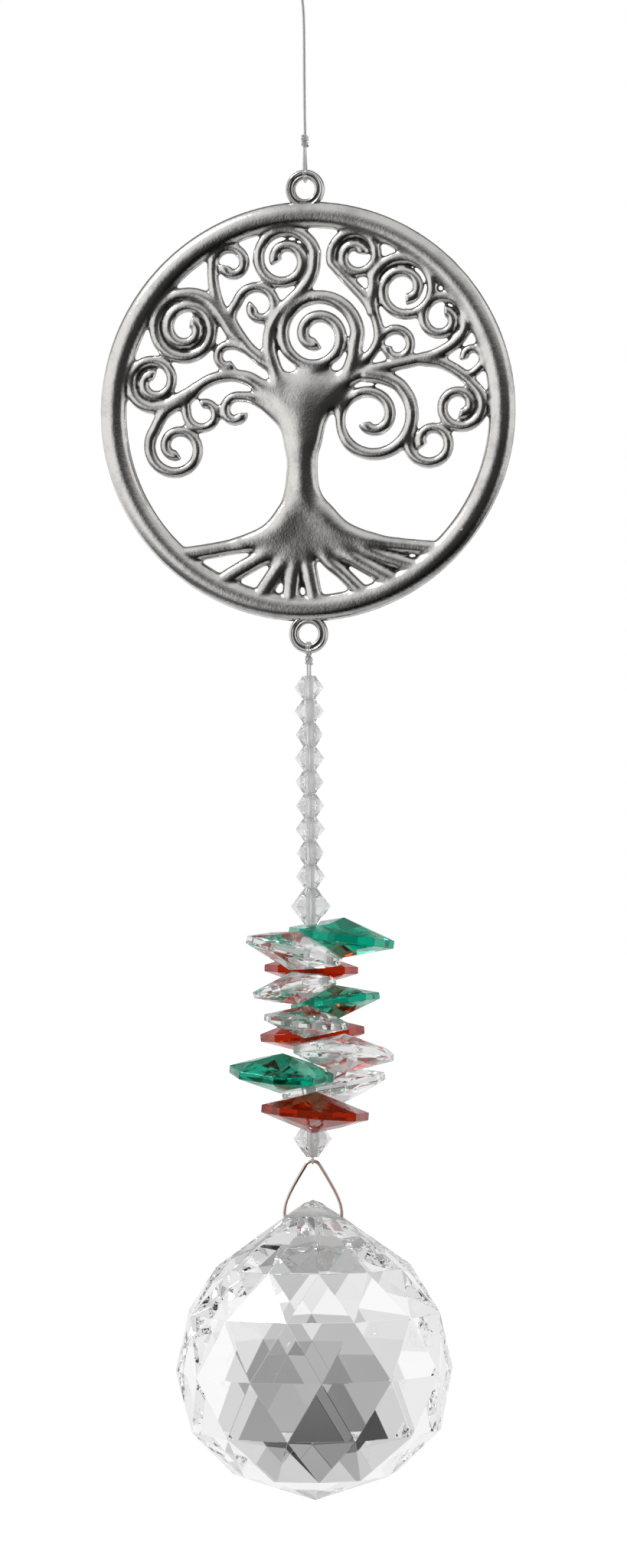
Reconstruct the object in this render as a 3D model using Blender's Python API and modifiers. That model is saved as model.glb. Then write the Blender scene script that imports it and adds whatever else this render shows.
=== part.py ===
# Crystal suncatcher: a cast tree disc, a string of cut crystals and a faceted ball, hung on one clear line.
# Metres, +Z up. The origin is the crown of the hanging loop. The disc faces -Y and the string hangs down Z.

import math

import bmesh
import bpy
from mathutils import Matrix, Vector

MM = 0.001

# Places down the string, each measured down from the crown of the loop
LOOP_KNOT_DOWN = 12.4 * MM
CORD_KNOT_DOWN = 34.2 * MM
DISC_DOWN = 73.2 * MM

# Tree disc
RING_OUTER_R = 30.26 * MM
RING_INNER_R = 26.40 * MM
RING_DEPTH = 2.6 * MM
RING_STEPS = 52
RING_SIDES = 6
EYE_OUTER_R = 2.83 * MM
EYE_HOLE_R = 1.44 * MM
EYE_DEPTH = 1.6 * MM
EYE_SINK = 1.1 * MM
EYE_STEPS = 14
EYE_SIDES = 6

# How the branches and roots are cast: shares of their width, and millimetres in the tree's own drawing
BRANCH_DEPTH_SHARE = 1.08
ROOT_DEPTH_SHARE = 0.90
RANK_DEPTH_SHARE = 0.015
HALF_DEPTH_LIMIT = 1.5
STEM_STEP = 2.6
CURL_SAG = 0.19
CURL_STEP_DEG = 50.0
CURL_EASE = 1.2
TIP_SWELL = 1.16
TIP_SHARE = 0.6
TAPER_OVER = 0.6
THICK_BRANCH = 3.0
THICK_SIDES = 6
THIN_SIDES = 4

# Lines and their knots
CORD_D = 0.45 * MM
CORD_STEP = 1.4 * MM
CORD_SIDES = 8
THREAD_D = 0.30 * MM
THREAD_STEP = 12.0 * MM
THREAD_SIDES = 4
LINE_GAP = 0.05 * MM
CORD_KNOT_W = 1.18 * MM
CORD_KNOT_DEEP = 1.80 * MM
CORD_KNOT_H = 2.00 * MM
THREAD_KNOT_W = 1.20 * MM
THREAD_KNOT_H = 1.44 * MM
THREAD_KNOT_UNDER_EYE = 0.25 * MM
KNOT_TO_BEADS = 1.50 * MM
KNOT_SIDES = 8
KNOT_LOBE_DEG = 65.0
KNOT_LOBE_STEPS = 2
KNOT_WAIST_SHARE = 0.62

# Beads
SMALL_BEAD_D = 4.25 * MM
SMALL_BEAD_H = 3.40 * MM
SMALL_BEADS = 9
LARGE_BEAD_D = 5.80 * MM
LARGE_BEAD_H = 5.20 * MM
BEAD_NECK_D = 1.90 * MM
BEAD_BORE_D = 1.00 * MM
BEAD_SIDES = 8
BEAD_TURN = 17.0
BEAD_GAP = 0.03 * MM

# Octagon lustres
OCTAGON_FLATS = 14.3 * MM
OCTAGON_THICK = 6.0 * MM
OCTAGON_GIRDLE = 1.1 * MM
OCTAGON_HOLE_OFFSET = 5.6 * MM
OCTAGON_BORE_D = 1.6 * MM
OCTAGON_BORE_SIDES = 6
OCTAGON_PITCH = 2.57 * MM
OCTAGON_STAR_SHARE = 0.57

# Wire bail
WIRE_D = 0.46 * MM
WIRE_APEX_R = 1.0 * MM
WIRE_HALF_SPAN = 4.25 * MM
WIRE_FOOT_R = 0.55 * MM
WIRE_END_X = 0.8 * MM
WIRE_BEND_STEPS = 4
WIRE_SIDES = 6
WIRE_UNDER_BEAD = 0.30 * MM
BAIL_H = 8.6 * MM

# Faceted ball
BALL_R = 20.0 * MM
BALL_SIDES = 12
BALL_FIRST_CORNER = 12.0
BALL_HOLE_D = 1.9 * MM
BALL_HOLE_SIDES = 16
BALL_HOLE_H = 21.4 * MM
BALL_TIP_UP = 24.4 * MM
BALL_TIP_DOWN = 18.9 * MM

# The ball's rings of facet corners, bottom to top: height and radius as shares of the ball's radius
BALL_RINGS = [(-0.744, 0.595), (-0.419, 0.925), (0.0, 1.0), (0.419, 0.925), (0.744, 0.705)]

# The knob's rings: how far below the tip, radius, corners
KNOB_RINGS = [(2.65 * MM, 4.6 * MM, 12), (1.30 * MM, 2.7 * MM, 6), (0.45 * MM, 1.3 * MM, 6)]

# Worked out from the sizes above
EYE_TUBE_R = (EYE_OUTER_R - EYE_HOLE_R) / 2
EYE_MEAN_R = (EYE_OUTER_R + EYE_HOLE_R) / 2
EYE_OUT = RING_OUTER_R + EYE_OUTER_R - EYE_SINK
UPPER_BAR_Z = -DISC_DOWN + EYE_OUT + EYE_MEAN_R
LOWER_BAR_Z = -DISC_DOWN - EYE_OUT - EYE_MEAN_R
THREAD_KNOT_Z = LOWER_BAR_Z - EYE_TUBE_R - THREAD_KNOT_UNDER_EYE - THREAD_KNOT_H / 2
BEADS_TOP_Z = THREAD_KNOT_Z - THREAD_KNOT_H / 2 - KNOT_TO_BEADS
LARGE_TOP_Z = BEADS_TOP_Z - SMALL_BEADS * SMALL_BEAD_H
CLUSTER_TOP_Z = LARGE_TOP_Z - LARGE_BEAD_H


def clear_scene():
    for obj in list(bpy.data.objects):
        bpy.data.objects.remove(obj, do_unlink=True)


def new_collection(name, shown):
    group = bpy.data.collections.new(name)
    bpy.context.scene.collection.children.link(group)
    group.hide_render = not shown
    return group


def material(name, color, roughness, metallic=0.0, see_through=0.0, ior=1.5):
    made = bpy.data.materials.new(name)
    made.use_nodes = True
    shader = made.node_tree.nodes["Principled BSDF"]
    shader.inputs["Base Color"].default_value = (*color, 1.0)
    shader.inputs["Roughness"].default_value = roughness
    shader.inputs["Metallic"].default_value = metallic
    shader.inputs["Transmission Weight"].default_value = see_through
    shader.inputs["IOR"].default_value = ior
    made.diffuse_color = (*color, 1.0)
    return made


def mesh_object(name, mesh, group, finish=None):
    obj = bpy.data.objects.new(name, mesh)
    group.objects.link(obj)
    if finish is not None:
        mesh.materials.clear()
        mesh.materials.append(finish)
    if group.hide_render:
        obj.hide_render = True
        obj.display_type = "WIRE"
    return obj


def finished_mesh(obj):
    """The object's evaluated shape as a plain mesh, its loose caps welded."""
    bpy.context.view_layer.update()
    graph = bpy.context.evaluated_depsgraph_get()
    mesh = bpy.data.meshes.new_from_object(obj.evaluated_get(graph))
    work = bmesh.new()
    work.from_mesh(mesh)
    bmesh.ops.remove_doubles(work, verts=work.verts, dist=0.001 * MM)
    bmesh.ops.recalc_face_normals(work, faces=work.faces)
    work.to_mesh(mesh)
    work.free()
    return mesh


def replaced_by_mesh(obj, name, group, finish=None):
    """A mesh object in place of a curve or of an object with modifiers."""
    mesh = finished_mesh(obj)
    mesh.name = name
    place = obj.matrix_world.copy()
    bpy.data.objects.remove(obj, do_unlink=True)
    made = mesh_object(name, mesh, group, finish)
    made.matrix_world = place
    return made


def boolean(obj, operation, cutter=None, cutters=None):
    step = obj.modifiers.new(operation.title(), "BOOLEAN")
    step.operation = operation
    step.solver = "EXACT"
    if cutters is not None:
        step.operand_type = "COLLECTION"
        step.collection = cutters
    else:
        step.object = cutter
    return step


def wire_curve(name, points, diameter, sides, group, widths=None, twist="MINIMUM"):
    """A round wire along points, its thickness a share of the diameter at each of them."""
    data = bpy.data.curves.new(name, "CURVE")
    data.dimensions = "3D"
    data.twist_mode = twist
    data.bevel_depth = diameter / 2
    data.bevel_resolution = (sides - 4) // 2
    data.use_fill_caps = True
    spline = data.splines.new("POLY")
    spline.points.add(len(points) - 1)
    for index, point in enumerate(points):
        spline.points[index].co = (*point, 1.0)
        spline.points[index].radius = widths[index] if widths else 1.0
    obj = bpy.data.objects.new(name, data)
    group.objects.link(obj)
    return obj


def smooth_route(knots, spacing):
    """Points about this far apart on the smooth curve through the knots."""
    knots = [Vector(knot) for knot in knots]
    ends = [2 * knots[0] - knots[1], *knots, 2 * knots[-1] - knots[-2]]
    points = [knots[0]]
    for before, start, stop, after in zip(ends, ends[1:], ends[2:], ends[3:]):
        count = max(1, round((stop - start).length / spacing))
        reach = [math.sqrt((b - a).length) for a, b in ((before, start), (start, stop), (stop, after))]
        leave = ((start - before) / reach[0] - (stop - before) / (reach[0] + reach[1])) * reach[1]
        leave = leave + (stop - start)
        arrive = ((after - stop) / reach[2] - (after - start) / (reach[1] + reach[2])) * reach[1]
        arrive = arrive + (stop - start)
        for index in range(1, count + 1):
            t = index / count
            points.append(
                (2 * t**3 - 3 * t**2 + 1) * start
                + (t**3 - 2 * t**2 + t) * leave
                + (3 * t**2 - 2 * t**3) * stop
                + (t**3 - t**2) * arrive
            )
    return points


# Tree of life, drawn in the disc's own plane: x to the right, y up, in millimetres from the disc's centre.
# Each branch is a stem and, where it curls, an eye: centre, first and last radius, first angle, sweep.
BRANCHES = {
    "crown_left": dict(
        stem=[(-1.5, -6), (-3.0, 0), (-4.7, 5.8), (-6.5, 7.5), (-8.4, 9.2), (-9.9, 11.2),
              (-11.1, 13.2)],
        width=(3.4, 1.8),
    ),
    "limb_left": dict(
        stem=[(-1.2, -4.5), (-3.4, 1.2), (-6.0, 3.3), (-8.2, 4.8), (-10.9, 5.4), (-13.6, 5.0),
              (-15.8, 3.8), (-17.3, 2.3), (-18.9, 1.3)],
        width=(3.6, 1.7),
    ),
    "limb_right": dict(
        stem=[(0.2, -5.0), (2.2, 1.0), (4.8, 3.7), (7.3, 5.0), (9.5, 5.8), (12.5, 6.4), (15.4, 7.0),
              (18.6, 7.7)],
        width=(3.6, 1.7),
    ),
    "crown_right": dict(
        stem=[(-0.2, -6.0), (2.0, -0.5), (5.6, 4.0), (7.6, 6.5), (9.5, 8.2), (10.5, 10.2), (10.3, 12.7),
              (9.3, 15.2)],
        width=(3.2, 1.5),
    ),
    "a": dict(
        stem=[(-11.1, 13.2), (-12.4, 14.9), (-13.2, 17.1), (-13.6, 19.6)],
        eye=((-10.9, 21.4), 2.7, 0.9, 175, -350), width=(1.71, 1.46),
    ),
    "b": dict(
        stem=[(-3.6, 3.4), (-4.7, 6.8), (-5.4, 9.0), (-5.2, 11.7), (-4.0, 14.1), (-2.0, 16.1),
              (-0.3, 17.8), (1.0, 20.0)],
        eye=((-3.1, 21.9), 4.6, 1.2, 12, 545), width=(2.05, 1.59),
    ),
    "c": dict(
        stem=[(3.6, 2.6), (5.6, 4.9), (6.8, 7.3), (7.2, 9.7)],
        eye=((1.5, 10.9), 6.0, 1.0, 2, 640), width=(2.17, 1.71),
    ),
    "d": dict(
        stem=[(-9.6, 10.6), (-10.7, 11.4), (-11.9, 13.4)],
        eye=((-17.5, 12.3), 5.2, 1.2, 34, 745), width=(1.94, 1.59),
    ),
    "e": dict(
        stem=[(-9.9, 10.8), (-10.8, 12.4), (-10.9, 14.4)],
        eye=((-6.9, 15.2), 3.2, 0.8, 165, -370), width=(1.6, 1.46),
    ),
    "f": dict(
        stem=[(-7.2, 8.3), (-8.9, 9.2), (-10.4, 9.8)],
        eye=((-11.4, 8.1), 1.7, 1.3, 80, 225), width=(1.48, 1.34),
    ),
    "g": dict(
        stem=[(-17.0, 3.0), (-18.6, 2.2), (-20.4, 1.2)],
        eye=((-22.3, 4.7), 3.8, 0.9, -92, -545), width=(1.82, 1.46),
    ),
    "h": dict(
        stem=[(-17.5, 2.2), (-19.0, 1.4), (-21.0, 0.0)],
        eye=((-19.0, -4.9), 4.2, 0.9, 142, 500), width=(1.82, 1.46),
    ),
    "i": dict(
        stem=[(-15.9, 4.0), (-17.2, 3.0), (-17.7, 1.4)],
        eye=((-15.1, 0.1), 2.5, 1.2, 184, 285), width=(1.48, 1.34),
    ),
    "j": dict(
        stem=[(-2.6, -2.6), (-4.8, -0.4), (-6.5, 1.2), (-8.3, 2.2)],
        eye=((-10.2, 0.2), 2.2, 0.8, 74, 270), width=(1.82, 1.46),
    ),
    "k": dict(
        stem=[(9.7, 14.4), (8.8, 15.9), (7.1, 17.8), (5.0, 20.0)],
        eye=((7.4, 22.3), 3.7, 0.9, -165, -545), width=(1.71, 1.46),
    ),
    "l": dict(
        stem=[(9.8, 13.8), (9.5, 15.6), (9.9, 17.8)],
        eye=((14.3, 17.3), 4.8, 1.4, 158, -600), width=(1.82, 1.46),
    ),
    "m": dict(
        stem=[(17.2, 7.2), (19.3, 8.0), (21.4, 9.3), (23.0, 11.2)],
        eye=((19.7, 13.0), 3.5, 1.1, 8, 425), width=(1.82, 1.46),
    ),
    "n": dict(
        stem=[(10.2, 9.4), (11.3, 10.9)],
        eye=((13.1, 9.3), 2.3, 1.4, 112, -290), width=(1.48, 1.34),
    ),
    "o": dict(
        stem=[(16.8, 7.1), (19.1, 6.8), (21.3, 5.8), (23.1, 4.5)],
        eye=((22.2, 0.4), 3.5, 1.0, 46, -500), width=(1.71, 1.46),
    ),
    "p": dict(
        stem=[(22.4, 4.6), (24.2, 5.1)],
        eye=((24.0, 7.2), 1.7, 1.1, -35, 225), width=(1.37, 1.22),
    ),
    "q": dict(
        stem=[(8.4, 5.2), (11.2, 4.7), (13.4, 3.6)],
        eye=((9.3, -1.0), 6.1, 1.2, 28, -530), width=(2.05, 1.59),
    ),
    "r": dict(
        stem=[(15.1, -1.2), (14.9, -3.4)],
        eye=((18.0, -4.7), 3.3, 1.3, 182, 385), width=(1.6, 1.46),
    ),
}

# Roots, from the trunk's foot out to the ring
ROOTS = {
    "root_1": dict(
        stem=[(-2.2, -14.5), (-5.0, -17.3), (-8.6, -18.7), (-13.2, -19.7), (-18.2, -20.4)],
        width=(4.4, 2.1),
    ),
    "root_2": dict(
        stem=[(-2.2, -17.0), (-4.6, -19.7), (-7.6, -21.4), (-11.6, -23.7), (-12.6, -24.4)],
        width=(2.7, 2.3),
    ),
    "root_3": dict(
        stem=[(-1.8, -17.5), (-3.0, -20.7), (-4.5, -22.9), (-6.8, -26.3)],
        width=(2.5, 2.4),
    ),
    "root_4": dict(
        stem=[(-1.0, -17.5), (-1.6, -21.0), (-2.2, -23.6), (-2.6, -27.2)],
        width=(2.3, 2.4),
    ),
    "root_5": dict(
        stem=[(-0.4, -17.5), (-0.1, -21.2), (0.3, -23.6), (1.0, -27.2)],
        width=(2.3, 2.2),
    ),
    "root_6": dict(
        stem=[(0.9, -17.5), (2.7, -21.1), (5.0, -23.3), (7.9, -26.2)],
        width=(2.5, 2.0),
    ),
    "root_7": dict(
        stem=[(2.0, -17.2), (4.9, -19.9), (8.2, -22.1), (12.4, -24.5)],
        width=(2.8, 2.3),
    ),
    "root_8": dict(
        stem=[(3.0, -16.8), (6.8, -18.9), (10.6, -20.9), (15.8, -22.6)],
        width=(2.7, 2.1),
    ),
    "root_9": dict(
        stem=[(1.4, -14.5), (4.6, -17.2), (8.4, -18.6), (13.2, -19.4), (18.9, -20.0)],
        width=(4.4, 2.0),
    ),
}

# Trunk: height, middle, half width and half depth of each section
TRUNK = [
    (-21.4, -0.3, 2.4, 0.70), (-20.4, -0.3, 4.2, 0.95), (-18.9, -0.3, 6.4, 1.10), (-17.3, -0.4, 7.6, 1.15),
    (-15.8, 0.0, 5.6, 1.20), (-13.2, -0.5, 3.6, 1.35), (-10.8, -0.8, 2.7, 1.45), (-7.5, -0.75, 2.4, 1.50),
    (-4.6, -0.7, 2.6, 1.50), (-2.2, -0.8, 3.1, 1.45), (-0.4, -0.8, 3.7, 1.40), (2.6, -0.4, 5.0, 1.25),
    (4.6, 0.4, 5.9, 1.10), (5.6, 0.9, 5.6, 0.80),
]
TRUNK_SIDES = 8
TRUNK_SQUARE = 0.85
TRUNK_RIDGE = 0.12
TRUNK_RIDGE_SHARP = 6


def spiral(centre, first_r, last_r, first_deg, sweep_deg):
    """Points of a scroll that winds in from the first radius to the last."""
    points = []
    turned = 0.0
    share = 0.0
    while True:
        angle = math.radians(first_deg + sweep_deg * share)
        radius = first_r + (last_r - first_r) * share**CURL_EASE
        points.append((centre[0] + radius * math.cos(angle), centre[1] + radius * math.sin(angle)))
        if share == 1.0:
            return points
        turned += min(CURL_STEP_DEG, math.degrees(2 * math.acos(1 - CURL_SAG / radius)))
        share = min(1.0, turned / abs(sweep_deg))


def branch(name, stem, width, group, rank, depth_share, eye=None):
    """One rounded branch or root as a mesh in the disc's plane, a little deeper the later it is laid."""
    tip_r = width[1] / 2
    flat = [Vector((x, y, 0)) for x, y in stem]
    if eye:
        curl = [Vector((x, y, 0)) for x, y in spiral(*eye)]
        route = smooth_route([*flat, curl[0]], STEM_STEP) + curl[1:]
    else:
        route = smooth_route(flat, STEM_STEP)
    route.append(route[-1] + (route[-1] - route[-2]).normalized() * tip_r * TIP_SHARE)
    count = len(route)
    tapered = TAPER_OVER * count
    widths = [1 + (width[1] / width[0] - 1) * min(1.0, index / tapered) for index in range(count)]
    if eye:
        widths[-2] *= TIP_SWELL
    widths[-1] *= TIP_SHARE
    points = [point * MM for point in route]
    sides = THICK_SIDES if width[0] > THICK_BRANCH else THIN_SIDES
    curve = wire_curve(name, points, width[0] * MM, sides, group, widths, twist="Z_UP")
    solid = replaced_by_mesh(curve, name, group)
    deep = depth_share * (1 + RANK_DEPTH_SHARE * rank)
    limit = HALF_DEPTH_LIMIT * MM
    for vertex in solid.data.vertices:
        vertex.co.z = limit * math.tanh(deep * vertex.co.z / limit)
    solid.hide_render = True
    solid.display_type = "WIRE"
    return solid


def trunk(group):
    """The trunk, lofted between its sections, with a low ridge down the middle of each face."""
    work = bmesh.new()
    loops = []
    for height, middle, half_width, half_depth in TRUNK:
        ring = []
        for side in range(TRUNK_SIDES):
            angle = 2 * math.pi * side / TRUNK_SIDES
            across = math.copysign(abs(math.cos(angle)) ** TRUNK_SQUARE, math.cos(angle)) * half_width
            ridge = 1 + TRUNK_RIDGE * abs(math.sin(angle)) ** TRUNK_RIDGE_SHARP
            deep = math.sin(angle) * half_depth * ridge
            ring.append(work.verts.new(Vector((middle + across, height, deep)) * MM))
        loops.append(ring)
    for low, high in zip(loops, loops[1:]):
        for side in range(TRUNK_SIDES):
            after = (side + 1) % TRUNK_SIDES
            work.faces.new((low[side], low[after], high[after], high[side]))
    work.faces.new(loops[0][::-1])
    work.faces.new(loops[-1])
    bmesh.ops.recalc_face_normals(work, faces=work.faces)
    mesh = bpy.data.meshes.new("trunk")
    work.to_mesh(mesh)
    work.free()
    return mesh_object("trunk", mesh, group)


def flat_torus(name, mean_r, tube_r, depth, steps, sides, centre, group, finish=None):
    """A ring with an oval section, lying in the disc's plane."""
    bpy.ops.mesh.primitive_torus_add(
        major_segments=steps, minor_segments=sides,
        major_radius=mean_r, minor_radius=tube_r, location=(0, 0, 0),
    )
    made = bpy.context.active_object
    mesh = made.data
    mesh.name = name
    mesh.transform(Matrix.Translation(centre) @ Matrix.Diagonal((1, 1, depth / (2 * tube_r), 1)))
    bpy.data.objects.remove(made, do_unlink=True)
    return mesh_object(name, mesh, group, finish)


def tree_disc(group, finish):
    pieces = new_collection("tree_pieces", shown=False)
    stand = Matrix.Translation((0, 0, -DISC_DOWN)) @ Matrix.Rotation(math.pi / 2, 4, "X")
    mean_r = (RING_OUTER_R + RING_INNER_R) / 2
    tube_r = (RING_OUTER_R - RING_INNER_R) / 2
    ring = flat_torus("tree_disc", mean_r, tube_r, RING_DEPTH, RING_STEPS, RING_SIDES,
                      (0, 0, 0), group, finish)
    for sign in (1, -1):
        name = "eye_upper" if sign > 0 else "eye_lower"
        centre = (0, sign * EYE_OUT, 0)
        flat_torus(name, EYE_MEAN_R, EYE_TUBE_R, EYE_DEPTH, EYE_STEPS, EYE_SIDES, centre, pieces)
    trunk(pieces)
    for rank, (name, shape) in enumerate(BRANCHES.items()):
        branch(name, shape["stem"], shape["width"], pieces, rank, BRANCH_DEPTH_SHARE, shape.get("eye"))
    for rank, (name, shape) in enumerate(ROOTS.items()):
        branch(name, shape["stem"], shape["width"], pieces, rank, ROOT_DEPTH_SHARE)
    for piece in pieces.objects:
        piece.matrix_world = stand @ piece.matrix_world
    ring.matrix_world = stand
    boolean(ring, "UNION", cutters=pieces)
    return ring


def knot(name, width, deep, high, height, bore_w, bore_deep, group, cutters, finish):
    """A tight two-lobed knot, turned, flattened and opened for the line that runs through it."""
    lobe = high / 4
    profile = [(0.0, high / 2)]
    for centre in (lobe, -lobe):
        for step in range(KNOT_LOBE_STEPS + 1):
            angle = math.radians(KNOT_LOBE_DEG * (1 - 2 * step / KNOT_LOBE_STEPS))
            swell = 0.5 * (KNOT_WAIST_SHARE + (1 - KNOT_WAIST_SHARE) * math.cos(angle))
            profile.append((swell, centre + lobe * math.sin(angle)))
    profile.append((0.0, -high / 2))
    work = bmesh.new()
    corners = [work.verts.new((x, 0, z)) for x, z in profile]
    for first, second in zip(corners, corners[1:]):
        work.edges.new((first, second))
    mesh = bpy.data.meshes.new(name)
    work.to_mesh(mesh)
    work.free()
    turned = mesh_object(name + "_turned", mesh, cutters)
    spin = turned.modifiers.new("Turn", "SCREW")
    spin.steps = KNOT_SIDES
    spin.render_steps = KNOT_SIDES
    spin.use_merge_vertices = True
    spin.merge_threshold = 0.00001
    solid = replaced_by_mesh(turned, name, group, finish)
    solid.data.transform(Matrix.Diagonal((width, deep, 1, 1)))
    solid.location = (0, 0, height)
    bpy.ops.mesh.primitive_cube_add(size=1, location=(0, 0, height))
    slot = bpy.context.active_object
    slot.data.transform(Matrix.Diagonal((bore_w, bore_deep, 2 * high, 1)))
    hide_cutter(slot, name + "_slot", cutters)
    boolean(solid, "DIFFERENCE", cutter=slot)
    return solid


def hide_cutter(obj, name, cutters):
    obj.name = name
    for group in list(obj.users_collection):
        group.objects.unlink(obj)
    cutters.objects.link(obj)
    obj.hide_render = True
    obj.display_type = "WIRE"


def hanging_cord(group, finish):
    """The line's route: round the eye's bar, front to back, up through the knot and round the loop."""
    aside = (CORD_D + LINE_GAP) / 2
    bar_deep = (EYE_DEPTH + CORD_D) / 2 + LINE_GAP
    bar_down = EYE_TUBE_R + CORD_D / 2 + LINE_GAP
    knot_top = -CORD_KNOT_DOWN + CORD_KNOT_H / 2
    knot_foot = -CORD_KNOT_DOWN - CORD_KNOT_H / 2
    tie = -LOOP_KNOT_DOWN
    knots = [
        (0, -aside, knot_top - 0.3 * MM),
        (0, -aside, knot_foot),
        (0, -0.7 * bar_deep, (knot_foot + UPPER_BAR_Z) / 2),
        (0, -bar_deep, UPPER_BAR_Z + 0.2 * MM),
        (0, -0.7 * bar_deep, UPPER_BAR_Z - 0.78 * bar_down),
        (0, 0, UPPER_BAR_Z - bar_down),
        (0, 0.7 * bar_deep, UPPER_BAR_Z - 0.78 * bar_down),
        (0, bar_deep, UPPER_BAR_Z + 0.2 * MM),
        (0, 0.7 * bar_deep, (knot_foot + UPPER_BAR_Z) / 2),
        (0, aside, knot_foot),
        (0, aside, knot_top),
        (0, 0.2 * aside, knot_top + 3 * MM),
        (0, 0, knot_top + 8 * MM),
        (0, 0, tie - 6 * MM),
        (-0.3 * aside, 0, tie - 3 * MM),
        (-aside, 0, tie - 0.5 * CORD_KNOT_H),
        (-aside, 0, tie + 0.5 * CORD_KNOT_H),
        (-1.5 * MM, 0, tie + 3.6 * MM),
        (-2.5 * MM, 0, tie + 7.0 * MM),
        (-2.0 * MM, 0, tie + 10.8 * MM),
        (0, 0, 0),
        (2.0 * MM, 0, tie + 10.8 * MM),
        (2.5 * MM, 0, tie + 7.0 * MM),
        (1.5 * MM, 0, tie + 3.6 * MM),
        (aside, 0, tie + 0.5 * CORD_KNOT_H),
        (aside, 0, tie - 0.3 * CORD_KNOT_H),
    ]
    cord = wire_curve("hanging_cord", smooth_route(knots, CORD_STEP), CORD_D, CORD_SIDES, group)
    cord.data.materials.append(finish)
    return cord


def bead_thread(group, finish, foot_z):
    """One line, tied under the lower eye, down through every bead, round the wire's bend and back."""
    side = (THREAD_D + LINE_GAP) / 2
    bar_deep = (EYE_DEPTH + THREAD_D) / 2 + LINE_GAP
    bar_up = EYE_TUBE_R + THREAD_D / 2 + LINE_GAP
    top = THREAD_KNOT_Z + THREAD_KNOT_H / 2
    foot = THREAD_KNOT_Z - THREAD_KNOT_H / 2
    lap = [
        (side, -side, top - 0.3 * MM),
        (side, -side, top),
        (side, -0.75 * bar_deep, LOWER_BAR_Z - 0.78 * bar_up),
        (side, -bar_deep, LOWER_BAR_Z - 0.1 * MM),
        (side, -0.7 * bar_deep, LOWER_BAR_Z + 0.78 * bar_up),
        (side, 0, LOWER_BAR_Z + bar_up),
        (side, 0.7 * bar_deep, LOWER_BAR_Z + 0.78 * bar_up),
        (side, bar_deep, LOWER_BAR_Z - 0.1 * MM),
        (side, 0.75 * bar_deep, LOWER_BAR_Z - 0.78 * bar_up),
        (side, side, top),
    ]
    through = [
        (side, side, foot),
        (side, 0.4 * side, foot - 0.6 * KNOT_TO_BEADS),
        (side, 0, BEADS_TOP_Z - SMALL_BEAD_H),
        (0.9 * side, 0.4 * side, LARGE_TOP_Z),
        (0.6 * side, 0.8 * side, CLUSTER_TOP_Z),
        (0.2 * side, side, CLUSTER_TOP_Z - 5 * OCTAGON_PITCH),
        (0, side, foot_z + 0.6 * MM),
    ]
    half = (WIRE_D + THREAD_D) / 2 + LINE_GAP
    under = foot_z - WIRE_UNDER_BEAD - WIRE_D / 2
    turn = [(0, 0.75 * half, foot_z), (0, half, under), (0, 0.7 * half, under - 0.75 * half)]
    down = lap + through + turn
    back = [(-x, -y, z) for x, y, z in reversed(through + turn)]
    last_lap = [(-side, -side, top)] + [(-x, -y, z) for x, y, z in lap[2:]]
    route = down + [(0, 0, under - half)] + back + last_lap
    route.append((-side, side, top - 0.3 * MM))
    route = smooth_route(route, THREAD_STEP)
    thread = wire_curve("bead_thread", route, THREAD_D, THREAD_SIDES, group)
    thread.data.materials.append(finish)
    return thread


def bead_mesh(name, diameter, high, finish, cutters):
    """A bicone with flat ends and its bore, turned as one closed section."""
    bore_r = BEAD_BORE_D / 2
    half = high / 2 - BEAD_GAP / 2
    neck_r = BEAD_NECK_D / 2
    section = [(bore_r, half), (neck_r, half), (diameter / 2, 0), (neck_r, -half), (bore_r, -half)]
    work = bmesh.new()
    corners = [work.verts.new((x, 0, z)) for x, z in section]
    for first, second in zip(corners, corners[1:] + corners[:1]):
        work.edges.new((first, second))
    mesh = bpy.data.meshes.new(name)
    work.to_mesh(mesh)
    work.free()
    turned = mesh_object(name + "_turned", mesh, cutters)
    spin = turned.modifiers.new("Turn", "SCREW")
    spin.steps = BEAD_SIDES
    spin.render_steps = BEAD_SIDES
    spin.use_merge_vertices = True
    spin.merge_threshold = 0.00001
    solid = finished_mesh(turned)
    bpy.data.objects.remove(turned, do_unlink=True)
    solid.name = name
    solid.materials.clear()
    solid.materials.append(finish)
    return solid


def cut_stone(name, rings):
    """A convex cut stone: height, radius, corners and first angle of each ring of facet corners."""
    work = bmesh.new()
    for height, radius, count, first_deg in rings:
        for index in range(count):
            angle = math.radians(first_deg + 360 * index / count)
            work.verts.new((radius * math.cos(angle), radius * math.sin(angle), height))
    hull = bmesh.ops.convex_hull(work, input=work.verts)
    unused = [item for item in hull["geom_interior"] if isinstance(item, bmesh.types.BMVert)]
    bmesh.ops.delete(work, geom=unused, context="VERTS")
    bmesh.ops.recalc_face_normals(work, faces=work.faces)
    mesh = bpy.data.meshes.new(name)
    work.to_mesh(mesh)
    work.free()
    return mesh


def round_cutter(name, diameter, long, sides, place, cutters):
    bpy.ops.mesh.primitive_cylinder_add(vertices=sides, radius=diameter / 2, depth=long)
    made = bpy.context.active_object
    made.matrix_world = place
    hide_cutter(made, name, cutters)
    return made


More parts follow.
